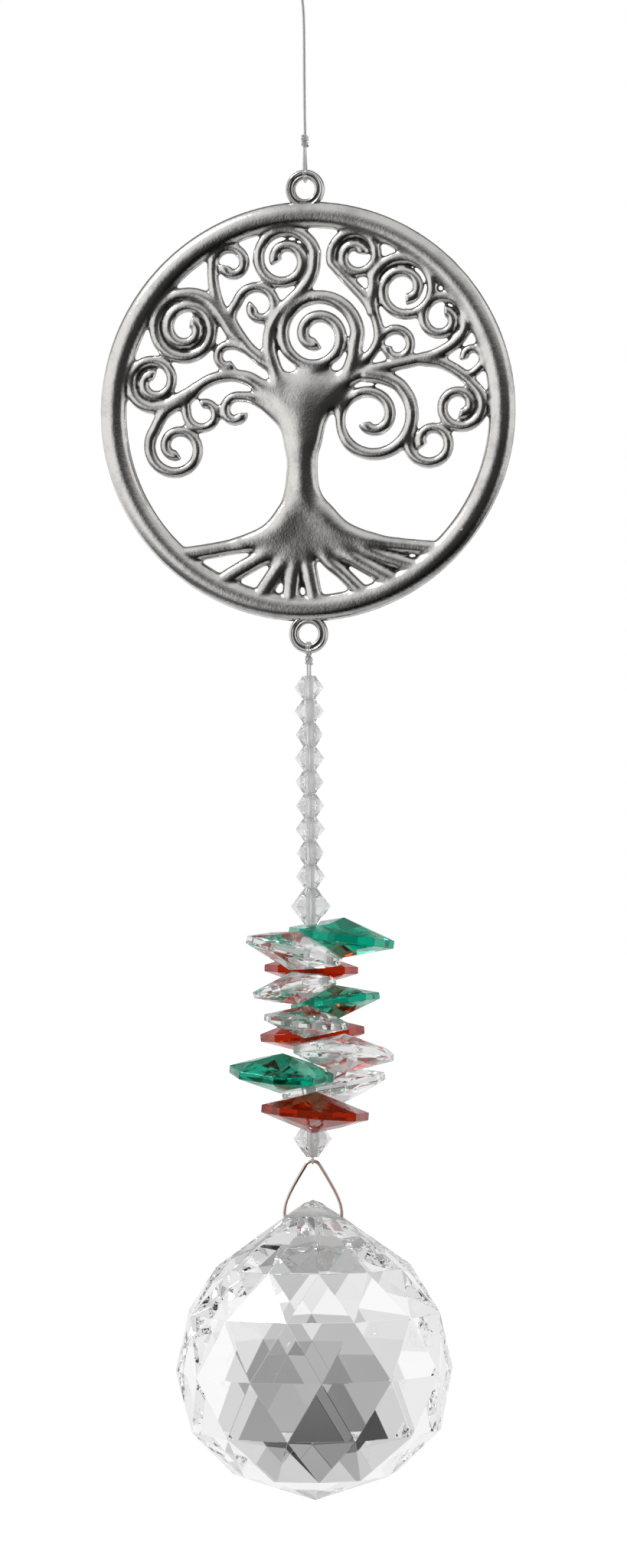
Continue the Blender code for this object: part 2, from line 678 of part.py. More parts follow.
# Octagon lustres from the top of the cluster down: colour, size as a share of the largest, the way it points
# round the string from +X, how far its outer end dips, how far it banks about that line, and how many mm its
# hole is off an even pitch
OCTAGONS = [
    ("green_1", "green", 1.00, 47, 7, 4, -0.10),
    ("clear_1", "clear", 0.95, -108, -6, -13, -0.30),
    ("red_1", "red", 0.88, 99, 1, 2, -0.10),
    ("clear_2", "clear", 0.80, -113, 0, 12, 0.00),
    ("green_2", "green", 0.84, 52, -3, -8, 0.03),
    ("clear_3", "clear", 0.80, -91, 1, -6, 0.42),
    ("red_2", "red", 0.98, 98, 0, -4, 0.68),
    ("clear_4", "clear", 0.96, -23, -2, -10, 0.63),
    ("green_3", "green", 0.98, -134, 0, -7, 0.61),
    ("clear_5", "clear", 1.00, 65, -6, -8, 0.35),
    ("red_3", "red", 1.00, -77, 0, -5, 0.25),
]
CLUSTER_FOOT_Z = CLUSTER_TOP_Z - len(OCTAGONS) * OCTAGON_PITCH
LARGE_FOOT_Z = CLUSTER_FOOT_Z - LARGE_BEAD_H
WIRE_APEX_Z = LARGE_FOOT_Z - WIRE_UNDER_BEAD - WIRE_D / 2
BALL_Z = WIRE_APEX_Z - BAIL_H - BALL_HOLE_H


def octagons(group, cutters, finishes):
    corner_r = OCTAGON_FLATS / 2 / math.cos(math.pi / 8)
    rise = (OCTAGON_THICK - OCTAGON_GIRDLE) / 2
    star_r = OCTAGON_STAR_SHARE * OCTAGON_FLATS / 2
    star_up = rise * (1 - star_r * math.cos(math.pi / 8) / corner_r)
    girdle = OCTAGON_GIRDLE / 2
    rings = [
        (girdle + rise, 0, 1, 0), (girdle + star_up, star_r, 8, 22.5), (girdle, corner_r, 8, 0),
        (-girdle, corner_r, 8, 0), (-girdle - star_up, star_r, 8, 22.5), (-girdle - rise, 0, 1, 0),
    ]
    for index, (name, colour, share, points_to, dip, bank, shift) in enumerate(OCTAGONS):
        mesh = cut_stone("octagon_" + name, rings)
        mesh.transform(Matrix.Scale(share, 4) @ Matrix.Translation((OCTAGON_HOLE_OFFSET, 0, 0)))
        obj = mesh_object("octagon_" + name, mesh, group, finishes[colour])
        height = CLUSTER_TOP_Z - (index + 0.5) * OCTAGON_PITCH + shift * MM
        bore = Matrix.Translation((0, 0, height))
        swing = Matrix.Rotation(math.radians(points_to), 4, "Z")
        tilt = Matrix.Rotation(math.radians(dip), 4, "Y") @ Matrix.Rotation(math.radians(bank), 4, "X")
        obj.matrix_world = bore @ swing @ tilt
        drill = round_cutter("drill_" + name, OCTAGON_BORE_D, 3 * OCTAGON_THICK, OCTAGON_BORE_SIDES,
                             bore, cutters)
        boolean(obj, "DIFFERENCE", cutter=drill)


def beads(group, cutters, finish):
    small = bead_mesh("bicone_small", SMALL_BEAD_D, SMALL_BEAD_H, finish, cutters)
    large = bead_mesh("bicone_large", LARGE_BEAD_D, LARGE_BEAD_H, finish, cutters)
    for index in range(SMALL_BEADS):
        bead = mesh_object(f"bicone_small_{index + 1}", small, group)
        bead.location = (0, 0, BEADS_TOP_Z - (index + 0.5) * SMALL_BEAD_H)
        bead.rotation_euler = (0, 0, math.radians(BEAD_TURN * index))
    for name, top, turn in (("top", LARGE_TOP_Z, 5), ("bottom", CLUSTER_FOOT_Z, 20)):
        bead = mesh_object("bicone_large_" + name, large, group)
        bead.location = (0, 0, top - LARGE_BEAD_H / 2)
        bead.rotation_euler = (0, 0, math.radians(turn))


def arc(centre, radius, first_deg, last_deg, steps):
    points = []
    for index in range(steps + 1):
        angle = math.radians(first_deg + (last_deg - first_deg) * index / steps)
        across, up = radius * math.cos(angle), radius * math.sin(angle)
        points.append(Vector((centre[0] + across, 0, centre[1] + up)))
    return points


def wire_bail(group, finish):
    """A wire bent over a round apex, its two legs turned in to lie in the ball's cross hole."""
    hole_z = BALL_Z + BALL_HOLE_H
    top = (0, WIRE_APEX_Z - WIRE_APEX_R)
    foot = (WIRE_HALF_SPAN - WIRE_FOOT_R, hole_z + WIRE_FOOT_R)
    across, down = foot[0] - top[0], foot[1] - top[1]
    apart = math.hypot(across, down)
    lean = math.degrees(math.atan2(down, across) + math.asin((WIRE_APEX_R - WIRE_FOOT_R) / apart)) + 90
    right = arc(top, WIRE_APEX_R, 90, lean, WIRE_BEND_STEPS)
    right += arc(foot, WIRE_FOOT_R, lean, -90, WIRE_BEND_STEPS)
    right.append(Vector((WIRE_END_X, 0, hole_z)))
    left = [Vector((-point.x, 0, point.z)) for point in reversed(right[1:])]
    wire = wire_curve("wire_bail", left + right, WIRE_D, WIRE_SIDES, group)
    wire.data.materials.append(finish)
    return wire


def crystal_ball(group, cutters, finish):
    """Rings of facet corners, each turned half a facet from the next, drilled across its knob."""
    half_facet = 180 / BALL_SIDES
    rings = [(-BALL_TIP_DOWN, 0, 1, 0)]
    for index, (up, out) in enumerate(BALL_RINGS):
        first = BALL_FIRST_CORNER - 90 + half_facet * (index % 2)
        rings.append((up * BALL_R, out * BALL_R, BALL_SIDES, first))
    for index, (down, radius, corners) in enumerate(KNOB_RINGS):
        first = BALL_FIRST_CORNER - 90 + half_facet * ((index + 1) % 2)
        rings.append((BALL_TIP_UP - down, radius, corners, first))
    rings.append((BALL_TIP_UP, 0, 1, 0))
    ball = mesh_object("crystal_ball", cut_stone("crystal_ball", rings), group, finish)
    ball.location = (0, 0, BALL_Z)
    along_x = Matrix.Translation((0, 0, BALL_Z + BALL_HOLE_H)) @ Matrix.Rotation(math.pi / 2, 4, "Y")
    drill = round_cutter("ball_drill", BALL_HOLE_D, 2.5 * BALL_R, BALL_HOLE_SIDES, along_x, cutters)
    boolean(ball, "DIFFERENCE", cutter=drill)
    return ball


def main():
    clear_scene()
    parts = new_collection("crystal_suncatcher", shown=True)
    cutters = new_collection("cutters", shown=False)
    silver = material("antique_silver", (0.42, 0.40, 0.37), 0.38, metallic=1.0)
    line = material("clear_line", (0.72, 0.72, 0.72), 0.35)
    wire = material("copper_wire", (0.72, 0.50, 0.42), 0.28, metallic=1.0)
    clear = material("clear_crystal", (0.97, 0.97, 0.97), 0.02, see_through=1.0, ior=1.54)
    green = material("emerald_crystal", (0.01, 0.35, 0.20), 0.02, see_through=1.0, ior=1.54)
    red = material("hyacinth_crystal", (0.60, 0.03, 0.01), 0.02, see_through=1.0, ior=1.54)
    tree_disc(parts, silver)
    hanging_cord(parts, line)
    slot_deep = 2 * CORD_D + 3 * LINE_GAP
    knot("cord_knot", CORD_KNOT_W, CORD_KNOT_DEEP, CORD_KNOT_H, -CORD_KNOT_DOWN,
         CORD_D + 2 * LINE_GAP, slot_deep, parts, cutters, line)
    knot("loop_knot", CORD_KNOT_DEEP, CORD_KNOT_W, CORD_KNOT_H, -LOOP_KNOT_DOWN,
         slot_deep, CORD_D + 2 * LINE_GAP, parts, cutters, line)
    thread_slot = 2 * THREAD_D + 3 * LINE_GAP
    knot("thread_knot", THREAD_KNOT_W, THREAD_KNOT_W, THREAD_KNOT_H, THREAD_KNOT_Z,
         thread_slot, thread_slot, parts, cutters, line)
    bead_thread(parts, line, LARGE_FOOT_Z)
    beads(parts, cutters, clear)
    octagons(parts, cutters, {"clear": clear, "green": green, "red": red})
    wire_bail(parts, wire)
    crystal_ball(parts, cutters, clear)


main()
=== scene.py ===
import math

import bmesh
import bpy
import numpy as np
from mathutils import Matrix, Vector


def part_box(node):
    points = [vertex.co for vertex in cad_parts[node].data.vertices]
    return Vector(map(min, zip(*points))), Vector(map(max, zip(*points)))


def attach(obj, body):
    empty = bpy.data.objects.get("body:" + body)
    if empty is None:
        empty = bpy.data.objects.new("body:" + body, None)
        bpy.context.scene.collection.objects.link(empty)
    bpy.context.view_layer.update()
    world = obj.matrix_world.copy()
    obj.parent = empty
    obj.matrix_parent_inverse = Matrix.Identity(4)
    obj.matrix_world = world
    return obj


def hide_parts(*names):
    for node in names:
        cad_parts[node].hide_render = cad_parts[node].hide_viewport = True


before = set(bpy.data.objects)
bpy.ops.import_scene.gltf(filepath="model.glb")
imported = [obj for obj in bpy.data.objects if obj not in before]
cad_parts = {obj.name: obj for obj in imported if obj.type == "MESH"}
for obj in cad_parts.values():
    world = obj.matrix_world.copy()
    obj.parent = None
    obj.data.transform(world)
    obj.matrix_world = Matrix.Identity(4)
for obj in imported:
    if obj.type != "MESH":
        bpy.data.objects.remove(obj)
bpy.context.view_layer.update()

mm = 0.001
body = "root"

# The view: a long lens, level, a little to the right of square on
photoView = dict(away=775 * mm, turn=9.0, height=-126.8 * mm, aside=0.53 * mm, roll=0.445,
                 perPixel=0.1102 * mm, pixelsHigh=2048, filmSize=36.0)


# Shader maths: a value in a node tree that adds a Math node for each operator
class Value:
    def __init__(self, tree, socket):
        self.tree = tree
        self.socket = socket

    def worked(self, operation, *terms, clamp=False):
        settings = {"operation": operation, "use_clamp": clamp}
        return node(self.tree, "ShaderNodeMath", settings, dict(enumerate(terms)))

    def __add__(self, other):
        return self.worked("ADD", self, other)

    __radd__ = __add__

    def __mul__(self, other):
        return self.worked("MULTIPLY", self, other)

    __rmul__ = __mul__

    def __sub__(self, other):
        return self.worked("SUBTRACT", self, other)

    def __rsub__(self, other):
        return self.worked("SUBTRACT", other, self)

    def __truediv__(self, other):
        return self.worked("DIVIDE", self, other)

    def clamped(self):
        return self.worked("ADD", self, 0.0, clamp=True)

    def size(self):
        return self.worked("ABSOLUTE", self)


# Any node at all: its type, its settings, then the values or links of its sockets
def node(tree, kind, settings=None, sockets=None, out=0):
    made = tree.nodes.new(kind)
    for name, value in (settings or {}).items():
        if name == "stops":
            ramp = made.color_ramp.elements
            while len(ramp) < len(value):
                ramp.new(0.5)
            for stop, (place, colour) in zip(ramp, value):
                stop.position = place
                stop.color = (*colour, 1.0)
        else:
            setattr(made, name, value)
    for name, value in (sockets or {}).items():
        if isinstance(value, Value):
            tree.links.new(value.socket, made.inputs[name])
        else:
            made.inputs[name].default_value = value
    return Value(tree, made.outputs[out])


def newFinish(name):
    finish = bpy.data.materials.new(name)
    finish.use_nodes = True
    return finish, finish.node_tree, finish.node_tree.nodes["Principled BSDF"]


def feed(shader, **sockets):
    for name, value in sockets.items():
        socket = shader.inputs[name.replace("_", " ")]
        if isinstance(value, Value):
            value.tree.links.new(value.socket, socket)
        else:
            socket.default_value = value


def objectPlace(tree):
    return node(tree, "ShaderNodeTexCoord", out="Object")


# Colour between two colours or values of one
def mixed(tree, share, first, second):
    mixer = tree.nodes.new("ShaderNodeMix")
    mixer.data_type = "RGBA"
    mixer.clamp_factor = True
    tree.links.new(share.socket, mixer.inputs["Factor"])
    for socket, colour in ((mixer.inputs[6], first), (mixer.inputs[7], second)):
        if isinstance(colour, Value):
            tree.links.new(colour.socket, socket)
        else:
            socket.default_value = (*colour, 1.0)
    return Value(tree, mixer.outputs[2])


# Noise over the object's own place, or over the way that a ray goes
def noise(place, scale, detail, rough=0.5):
    return node(place.tree, "ShaderNodeTexNoise", {},
                {"Vector": place, "Scale": scale, "Detail": detail, "Roughness": rough})


def bumped(height, strength, deep):
    return node(height.tree, "ShaderNodeBump", {}, {"Strength": strength, "Distance": deep, "Height": height},
                out="Normal")


silverLook = dict(bright=(0.80, 0.785, 0.76), dull=(0.42, 0.41, 0.40), dark=(0.030, 0.031, 0.034),
                  mottleSize=900.0, grainSize=3400.0, blotchSize=0.22, mottleDark=0.7, blotchDark=0.5,
                  flankDark=1.10, creaseDark=2.4, tarnishMost=0.95, speckFrom=0.6, speckRise=6.0,
                  speckShare=0.35, wornFrom=0.75, wornRise=1.6, polish=0.14, tarnishRough=0.30,
                  grainRough=0.16, bump=0.30, bumpDeep=0.06 * mm, bumpMottle=1.6)


def antiqueSilver():
    finish, tree, shader = newFinish("antiqueSilver")
    look = silverLook
    place = objectPlace(tree)
    crease = node(tree, "ShaderNodeAttribute", {"attribute_name": "crease"}, out="Fac")
    deep = node(tree, "ShaderNodeAttribute", {"attribute_name": "flank"}, out="Fac")
    mottle = noise(place, look["mottleSize"], 5.0, 0.62)
    blotch = noise(place, look["mottleSize"] * look["blotchSize"], 3.0)
    grain = noise(place, look["grainSize"], 3.0, 0.6)
    tarnish = (crease * look["creaseDark"] + deep * look["flankDark"] + (mottle - 0.5) * look["mottleDark"]
               + (blotch - 0.5) * look["blotchDark"])
    tarnish = tarnish.clamped()
    speck = ((grain - look["speckFrom"]) * look["speckRise"]).clamped()
    worn = (blotch * look["wornRise"] - look["wornFrom"]).clamped()
    metal = mixed(tree, worn, look["bright"], look["dull"])
    metal = mixed(tree, speck * look["speckShare"], metal, look["dull"])
    colour = mixed(tree, (tarnish * look["tarnishMost"]).clamped(), metal, look["dark"])
    rough = tarnish * look["tarnishRough"] + look["polish"] + (grain - 0.5) * look["grainRough"]
    bump = bumped(grain + mottle * look["bumpMottle"], look["bump"], look["bumpDeep"])
    feed(shader, Base_Color=colour, Roughness=rough, Metallic=1.0, Normal=bump)
    return finish


wireLook = dict(rose=(0.88, 0.70, 0.64), shade=(0.48, 0.37, 0.33), polish=0.20, dullSize=1500.0,
                dullFrom=0.52, dullRise=3.0, dullRough=0.25, drawnSize=5200.0, bump=0.15, bumpDeep=0.03 * mm)


def copperFinish():
    finish, tree, shader = newFinish("copperWire")
    look = wireLook
    place = objectPlace(tree)
    dull = noise(place, look["dullSize"], 4.0, 0.6)
    drawn = noise(place, look["drawnSize"], 2.0)
    share = ((dull - look["dullFrom"]) * look["dullRise"]).clamped()
    bump = bumped(drawn, look["bump"], look["bumpDeep"])
    feed(shader, Base_Color=mixed(tree, share, look["rose"], look["shade"]), Metallic=1.0,
         Roughness=share * look["dullRough"] + look["polish"], Normal=bump)
    return finish


lineLook = dict(tint=(0.80, 0.80, 0.81), polish=0.12, bend=1.53, through=0.85, rippleSize=2600.0, bump=0.12,
                bumpDeep=0.03 * mm)


# Clear drawn nylon, a little milky
def lineFinish(name):
    finish, tree, shader = newFinish(name)
    look = lineLook
    ripple = noise(objectPlace(tree), look["rippleSize"], 2.0)
    bump = bumped(ripple, look["bump"], look["bumpDeep"])
    feed(shader, Base_Color=(*look["tint"], 1.0), Roughness=look["polish"], IOR=look["bend"],
         Transmission_Weight=look["through"], Normal=bump)
    return finish


glassLook = dict(clear=(0.985, 0.985, 0.985), emerald=(0.003, 0.40, 0.24), emeraldShine=(0.25, 0.85, 0.65),
                 hyacinth=(0.38, 0.012, 0.0003), hyacinthShine=(0.85, 0.16, 0.08), bend=1.545,
                 ground=(0.99, 0.99, 0.99), groundRough=0.42, groundThrough=0.25,
                 bouncesThrough=32, bouncesBack=24)


# Polished lead glass, or ground glass where light gets through less
def crystalFinish(name, tint, rough=0.0, through=1.0, shine=(1, 1, 1)):
    finish, _, shader = newFinish(name)
    feed(shader, Base_Color=(*tint, 1.0), Roughness=rough, IOR=glassLook["bend"],
         Transmission_Weight=through, Specular_Tint=(*shine, 1.0))
    return finish


# Light goes back and forth many times inside a cut stone before it leaves
def letLightThroughCrystal():
    paths = bpy.context.scene.cycles
    paths.max_bounces = glassLook["bouncesThrough"]
    paths.transmission_bounces = glassLook["bouncesThrough"]
    paths.glossy_bounces = glassLook["bouncesBack"]


def newObject(name, mesh):
    made = bpy.data.objects.new(name, mesh)
    bpy.context.scene.collection.objects.link(made)
    return made


# A plain mesh of what the modifiers give, welded, with its faces outwards
def settled(obj, name, weld=0.0005 * mm):
    bpy.context.view_layer.update()
    graph = bpy.context.evaluated_depsgraph_get()
    mesh = bpy.data.meshes.new_from_object(obj.evaluated_get(graph))
    bpy.data.objects.remove(obj, do_unlink=True)
    work = bmesh.new()
    work.from_mesh(mesh)
    bmesh.ops.remove_doubles(work, verts=work.verts, dist=weld)
    bmesh.ops.recalc_face_normals(work, faces=work.faces)
    work.to_mesh(mesh)
    work.free()
    mesh.name = name
    return newObject(name, mesh)


def smoothShaded(obj, sharpDegrees=None):
    obj.data.shade_smooth()
    if sharpDegrees is not None:
        obj.data.set_sharp_from_angle(angle=math.radians(sharpDegrees))


def finishedPiece(obj, slot, *nodes):
    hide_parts(*nodes)
    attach(obj, body)
    return obj


# Geometry Nodes: a tree with named inputs, and a modifier that takes their values
def newGrower(name, inputs):
    tree = bpy.data.node_groups.new(name, "GeometryNodeTree")
    tree.interface.new_socket("Geometry", in_out="INPUT", socket_type="NodeSocketGeometry")
    for label, (kind, value) in inputs.items():
        socket = tree.interface.new_socket(label, in_out="INPUT", socket_type=kind)
        if value is not None:
            socket.default_value = value
    tree.interface.new_socket("Geometry", in_out="OUTPUT", socket_type="NodeSocketGeometry")
    return tree, tree.nodes.new("NodeGroupInput")


def endGrower(tree, geometry, finishSocket):
    real = node(tree, "GeometryNodeRealizeInstances", {}, {"Geometry": geometry})
    dressed = node(tree, "GeometryNodeSetMaterial", {}, {"Geometry": real, "Material": finishSocket})
    last = tree.nodes.new("NodeGroupOutput")
    tree.links.new(dressed.socket, last.inputs[0])


def grown(obj, tree, values):
    step = obj.modifiers.new(tree.name, "NODES")
    step.node_group = tree
    for item in tree.interface.items_tree:
        if item.in_out == "INPUT" and item.name in values:
            step[item.identifier] = values[item.name]
    return obj


# Points about this far apart on the smooth curve through the knots
def smoothRoute(knots, spacing, least=2):
    knots = [Vector(knot) for knot in knots]
    ends = [2 * knots[0] - knots[1], *knots, 2 * knots[-1] - knots[-2]]
    points = [knots[0]]
    for before, start, stop, after in zip(ends, ends[1:], ends[2:], ends[3:]):
        count = max(least, round((stop - start).length / spacing))
        pairs = ((before, start), (start, stop), (stop, after))
        first, middle, last = (math.sqrt((b - a).length) for a, b in pairs)
        leave = ((start - before) / first - (stop - before) / (first + middle)) * middle + (stop - start)
        arrive = ((after - stop) / last - (after - start) / (middle + last)) * middle + (stop - start)
        for index in range(1, count + 1):
            t = index / count
            points.append((2 * t**3 - 3 * t**2 + 1) * start + (t**3 - 2 * t**2 + t) * leave
                          + (3 * t**2 - 2 * t**3) * stop + (t**3 - t**2) * arrive)
    return points


def strandCurve(name, points, thick, finish, roundness=4):
    data = bpy.data.curves.new(name, "CURVE")
    data.dimensions = "3D"
    data.bevel_depth = thick / 2
    data.bevel_resolution = roundness
    data.use_fill_caps = True
    spline = data.splines.new("POLY")
    spline.points.add(len(points) - 1)
    for index, point in enumerate(points):
        spline.points[index].co = (*point, 1.0)
    spline.use_smooth = True
    data.materials.append(finish)
    return newObject(name, data)


def routeLength(points):
    return sum((b - a).length for a, b in zip(points, points[1:]))


def placeCamera():
    view = photoView
    turn = math.radians(view["turn"])
    right = Vector((math.cos(turn), math.sin(turn), 0))
    ahead = Vector((-math.sin(turn), math.cos(turn), 0))
    where = right * view["aside"] - ahead * view["away"] + Vector((0, 0, view["height"]))
    data = bpy.data.cameras.new("photoCamera")
    data.sensor_fit = "AUTO"
    data.sensor_width = view["filmSize"]
    data.lens = view["filmSize"] * view["away"] / (view["perPixel"] * view["pixelsHigh"])
    data.clip_start = 0.05
    camera = newObject("photoCamera", data)
    facing = Matrix((right, Vector((0, 0, 1)), -ahead)).transposed().to_4x4()
    level = Matrix.Rotation(math.radians(-view["roll"]), 4, "Z")
    camera.matrix_world = Matrix.Translation(where) @ facing @ level
    bpy.context.scene.camera = camera


studio = dict(silverDark=0.035, silverLight=0.92, silverBehind=0.85, silverBelow=0.45,
              glassDark=0.16, glassPale=1.0, glassFront=0.82, glassAbove=0.50, glassBelow=0.60,
              cloudSize=5.0, cloudDark=0.15,
              sunStrength=1.6, sunWide=20.0, sunFrom=(-0.75, -0.45, 0.85),
              floorDown=300 * mm, floorWide=9.0, floorPale=0.9, floorRough=0.9, floorLift=0.5)


def rampBetween(value, start, full):
    return node(value.tree, "ShaderNodeMapRange", {"interpolation_type": "SMOOTHSTEP"},
                {"Value": value, "From Min": start, "From Max": full, "To Min": 0.0, "To Max": 1.0})


# The two rooms' walls: where each starts and is full, sideways, away or upwards, and how strong it is
silverWalls = dict(left=(0.20, 0.60), right=(0.52, 0.80), rightShare=0.85, above=(0.05, 0.70),
                   aboveShare=0.70, below=(0.10, 0.62), belowShare=0.90, ground=(0.66, 0.86),
                   behind=(0.12, 0.42), sheetTop=(0.10, 0.45), sheetShare=0.78)
crystalWalls = dict(aside=(0.24, 0.62), away=(0.1, 0.4), lower=(-0.50, -0.20), lowerShare=0.72,
                    upper=(0.00, 0.16), upperShare=0.28, top=(0.46, 0.70), cloud=(0.35, 0.65),
                    cloudMost=1.25, cloudShare=0.55, below=(0.50, 0.72), belowAside=(0.20, 0.60),
                    above=(0.72, 0.94), front=(0.05, 0.50), patch=(0.42, 0.62))


# What the silver mirrors: light walls at the left, at the right and above, the dark room and floor
# between, and the white sheet behind
def silverRoom(aside, away, up):
    wall = silverWalls
    left = rampBetween(aside * -1.0, *wall["left"])
    right = rampBetween(aside, *wall["right"]) * wall["rightShare"]
    above = rampBetween(up, *wall["above"]) * wall["aboveShare"]
    dark = (1.0 - left) * (1.0 - right) * (1.0 - above)
    light = studio["silverLight"] - dark * (studio["silverLight"] - studio["silverDark"])
    below = rampBetween(up * -1.0, *wall["below"])
    ground = rampBetween(up * -1.0, *wall["ground"]) * studio["silverBelow"]
    light = light * (1.0 - below * wall["belowShare"]) + ground
    behind = rampBetween(away, *wall["behind"])
    sheet = studio["silverBehind"] * (1.0 - rampBetween(up, *wall["sheetTop"]) * wall["sheetShare"])
    return light * (1.0 - behind) + behind * sheet


# What the crystal shows: a pale surround, a clouded grey middle straight behind it that darkens upwards,
# and a dimmer room before it, below and above
def glassRoom(aside, away, up, cloud):
    wall = crystalWalls
    wide = (1.0 - rampBetween(aside.size(), *wall["aside"])) * rampBetween(away, *wall["away"])
    lower = rampBetween(up, *wall["lower"]) * wall["lowerShare"]
    high = lower + rampBetween(up, *wall["upper"]) * wall["upperShare"]
    clouded = wall["cloudMost"] - rampBetween(cloud, *wall["cloud"]) * wall["cloudShare"]
    middle = wide * high * (1.0 - rampBetween(up, *wall["top"])) * clouded
    light = studio["glassPale"] - middle * (studio["glassPale"] - studio["glassDark"])
    below = rampBetween(up * -1.0, *wall["below"]) * (1.0 - rampBetween(aside.size(), *wall["belowAside"]))
    light = light * (1.0 - below * studio["glassBelow"])
    above = rampBetween(up, *wall["above"])
    light = light * (1.0 - above) + above * studio["glassAbove"]
    front = rampBetween(away * -1.0, *wall["front"])
    patches = 1.0 - rampBetween(cloud, *wall["patch"]) * studio["cloudDark"]
    return (light * (1.0 - front) + front * studio["glassFront"]) * patches


def backdrop(tree, strength):
    return node(tree, "ShaderNodeBackground", {}, {"Color": (1, 1, 1, 1), "Strength": strength})


def lightStudio():
    world = bpy.data.worlds.new("studio")
    bpy.context.scene.world = world
    world.use_nodes = True
    tree = world.node_tree
    tree.nodes.clear()
    facing = node(tree, "ShaderNodeTexCoord", out="Generated")
    turn = math.radians(photoView["turn"])
    axes = [Vector((math.cos(turn), math.sin(turn), 0)), Vector((-math.sin(turn), math.cos(turn), 0)),
            Vector((0, 0, 1))]
    parts = [node(tree, "ShaderNodeVectorMath", {"operation": "DOT_PRODUCT"}, {0: facing, 1: axis},
                  out="Value") for axis in axes]
    cloud = noise(facing, studio["cloudSize"], 1.0)
    silver = backdrop(tree, silverRoom(*parts))
    glass = backdrop(tree, glassRoom(*parts, cloud))
    sheet = backdrop(tree, 1.0)
    through = node(tree, "ShaderNodeLightPath", out="Is Transmission Ray")
    seen = node(tree, "ShaderNodeLightPath", out="Is Camera Ray")
    room = node(tree, "ShaderNodeMixShader", {}, {0: through, 1: silver, 2: glass})
    both = node(tree, "ShaderNodeMixShader", {}, {0: seen, 1: room, 2: sheet})
    last = tree.nodes.new("ShaderNodeOutputWorld")
    tree.links.new(both.socket, last.inputs["Surface"])

    lamp = bpy.data.lights.new("softSun", "SUN")
    lamp.energy = studio["sunStrength"]
    lamp.angle = math.radians(studio["sunWide"])
    sun = newObject("softSun", lamp)
    sun.rotation_euler = Vector(studio["sunFrom"]).to_track_quat("Z", "Y").to_euler()
    bpy.context.scene.view_settings.view_transform = "Standard"

    bpy.ops.mesh.primitive_plane_add(size=studio["floorWide"], location=(0, 0, -studio["floorDown"]))
    floor = bpy.context.active_object
    floor.name = "floor"
    floor.visible_glossy = False
    floor.visible_transmission = False
    paper, _, shader = newFinish("floorPaper")
    pale = (studio["floorPale"],) * 3 + (1.0,)
    feed(shader, Base_Color=pale, Roughness=studio["floorRough"], Emission_Color=pale,
         Emission_Strength=studio["floorLift"])
    floor.data.materials.append(paper)


# The hanging line, on the solids' route: round the eye's bar, through the knots and round the loop
cordSizes = dict(thick=0.45 * mm, gap=0.05 * mm, knotHigh=2.0 * mm, knotDown=34.2 * mm, tieDown=12.4 * mm,
                 eyeDeep=1.6 * mm, eyeTube=0.695 * mm, barUp=-39.075 * mm, spacing=0.45 * mm)


def cordRoute():
    size = cordSizes
    aside = (size["thick"] + size["gap"]) / 2
    barDeep = (size["eyeDeep"] + size["thick"]) / 2 + size["gap"]
    barDown = size["eyeTube"] + size["thick"] / 2 + size["gap"]
    barUp = size["barUp"]
    knotTop = -size["knotDown"] + size["knotHigh"] / 2
    knotFoot = -size["knotDown"] - size["knotHigh"] / 2
    tie = -size["tieDown"]
    half = size["knotHigh"] / 2
    knots = [
        (0, -aside, knotTop - 0.3 * mm),
        (0, -aside, knotFoot),
        (0, -0.7 * barDeep, (knotFoot + barUp) / 2),
        (0, -barDeep, barUp + 0.2 * mm),
        (0, -0.7 * barDeep, barUp - 0.78 * barDown),
        (0, 0, barUp - barDown),
        (0, 0.7 * barDeep, barUp - 0.78 * barDown),
        (0, barDeep, barUp + 0.2 * mm),
        (0, 0.7 * barDeep, (knotFoot + barUp) / 2),
        (0, aside, knotFoot),
        (0, aside, knotTop),
        (0, 0.2 * aside, knotTop + 3 * mm),
        (0, 0, knotTop + 8 * mm),
        (0, 0, tie - 6 * mm),
        (-0.3 * aside, 0, tie - 3 * mm),
        (-aside, 0, tie - half),
        (-aside, 0, tie + half),
        (-1.5 * mm, 0, tie + 3.6 * mm),
        (-2.5 * mm, 0, tie + 7.0 * mm),
        (-2.0 * mm, 0, tie + 10.8 * mm),
        (0, 0, 0),
        (2.0 * mm, 0, tie + 10.8 * mm),
        (2.5 * mm, 0, tie + 7.0 * mm),
        (1.5 * mm, 0, tie + 3.6 * mm),
        (aside, 0, tie + half),
        (aside, 0, tie - 0.6 * half),
    ]
    return smoothRoute(knots, size["spacing"])


# Knots: two lobes of turns wound close, grown from spirals
knotTurns = dict(turns=1.75, smooth=24, narrow=0.8, rises={1: 0.10, -1: -1.10}, tight=0.98, lobes=2.2,
                 cordStrand=0.40 * mm, threadStrand=0.30 * mm)


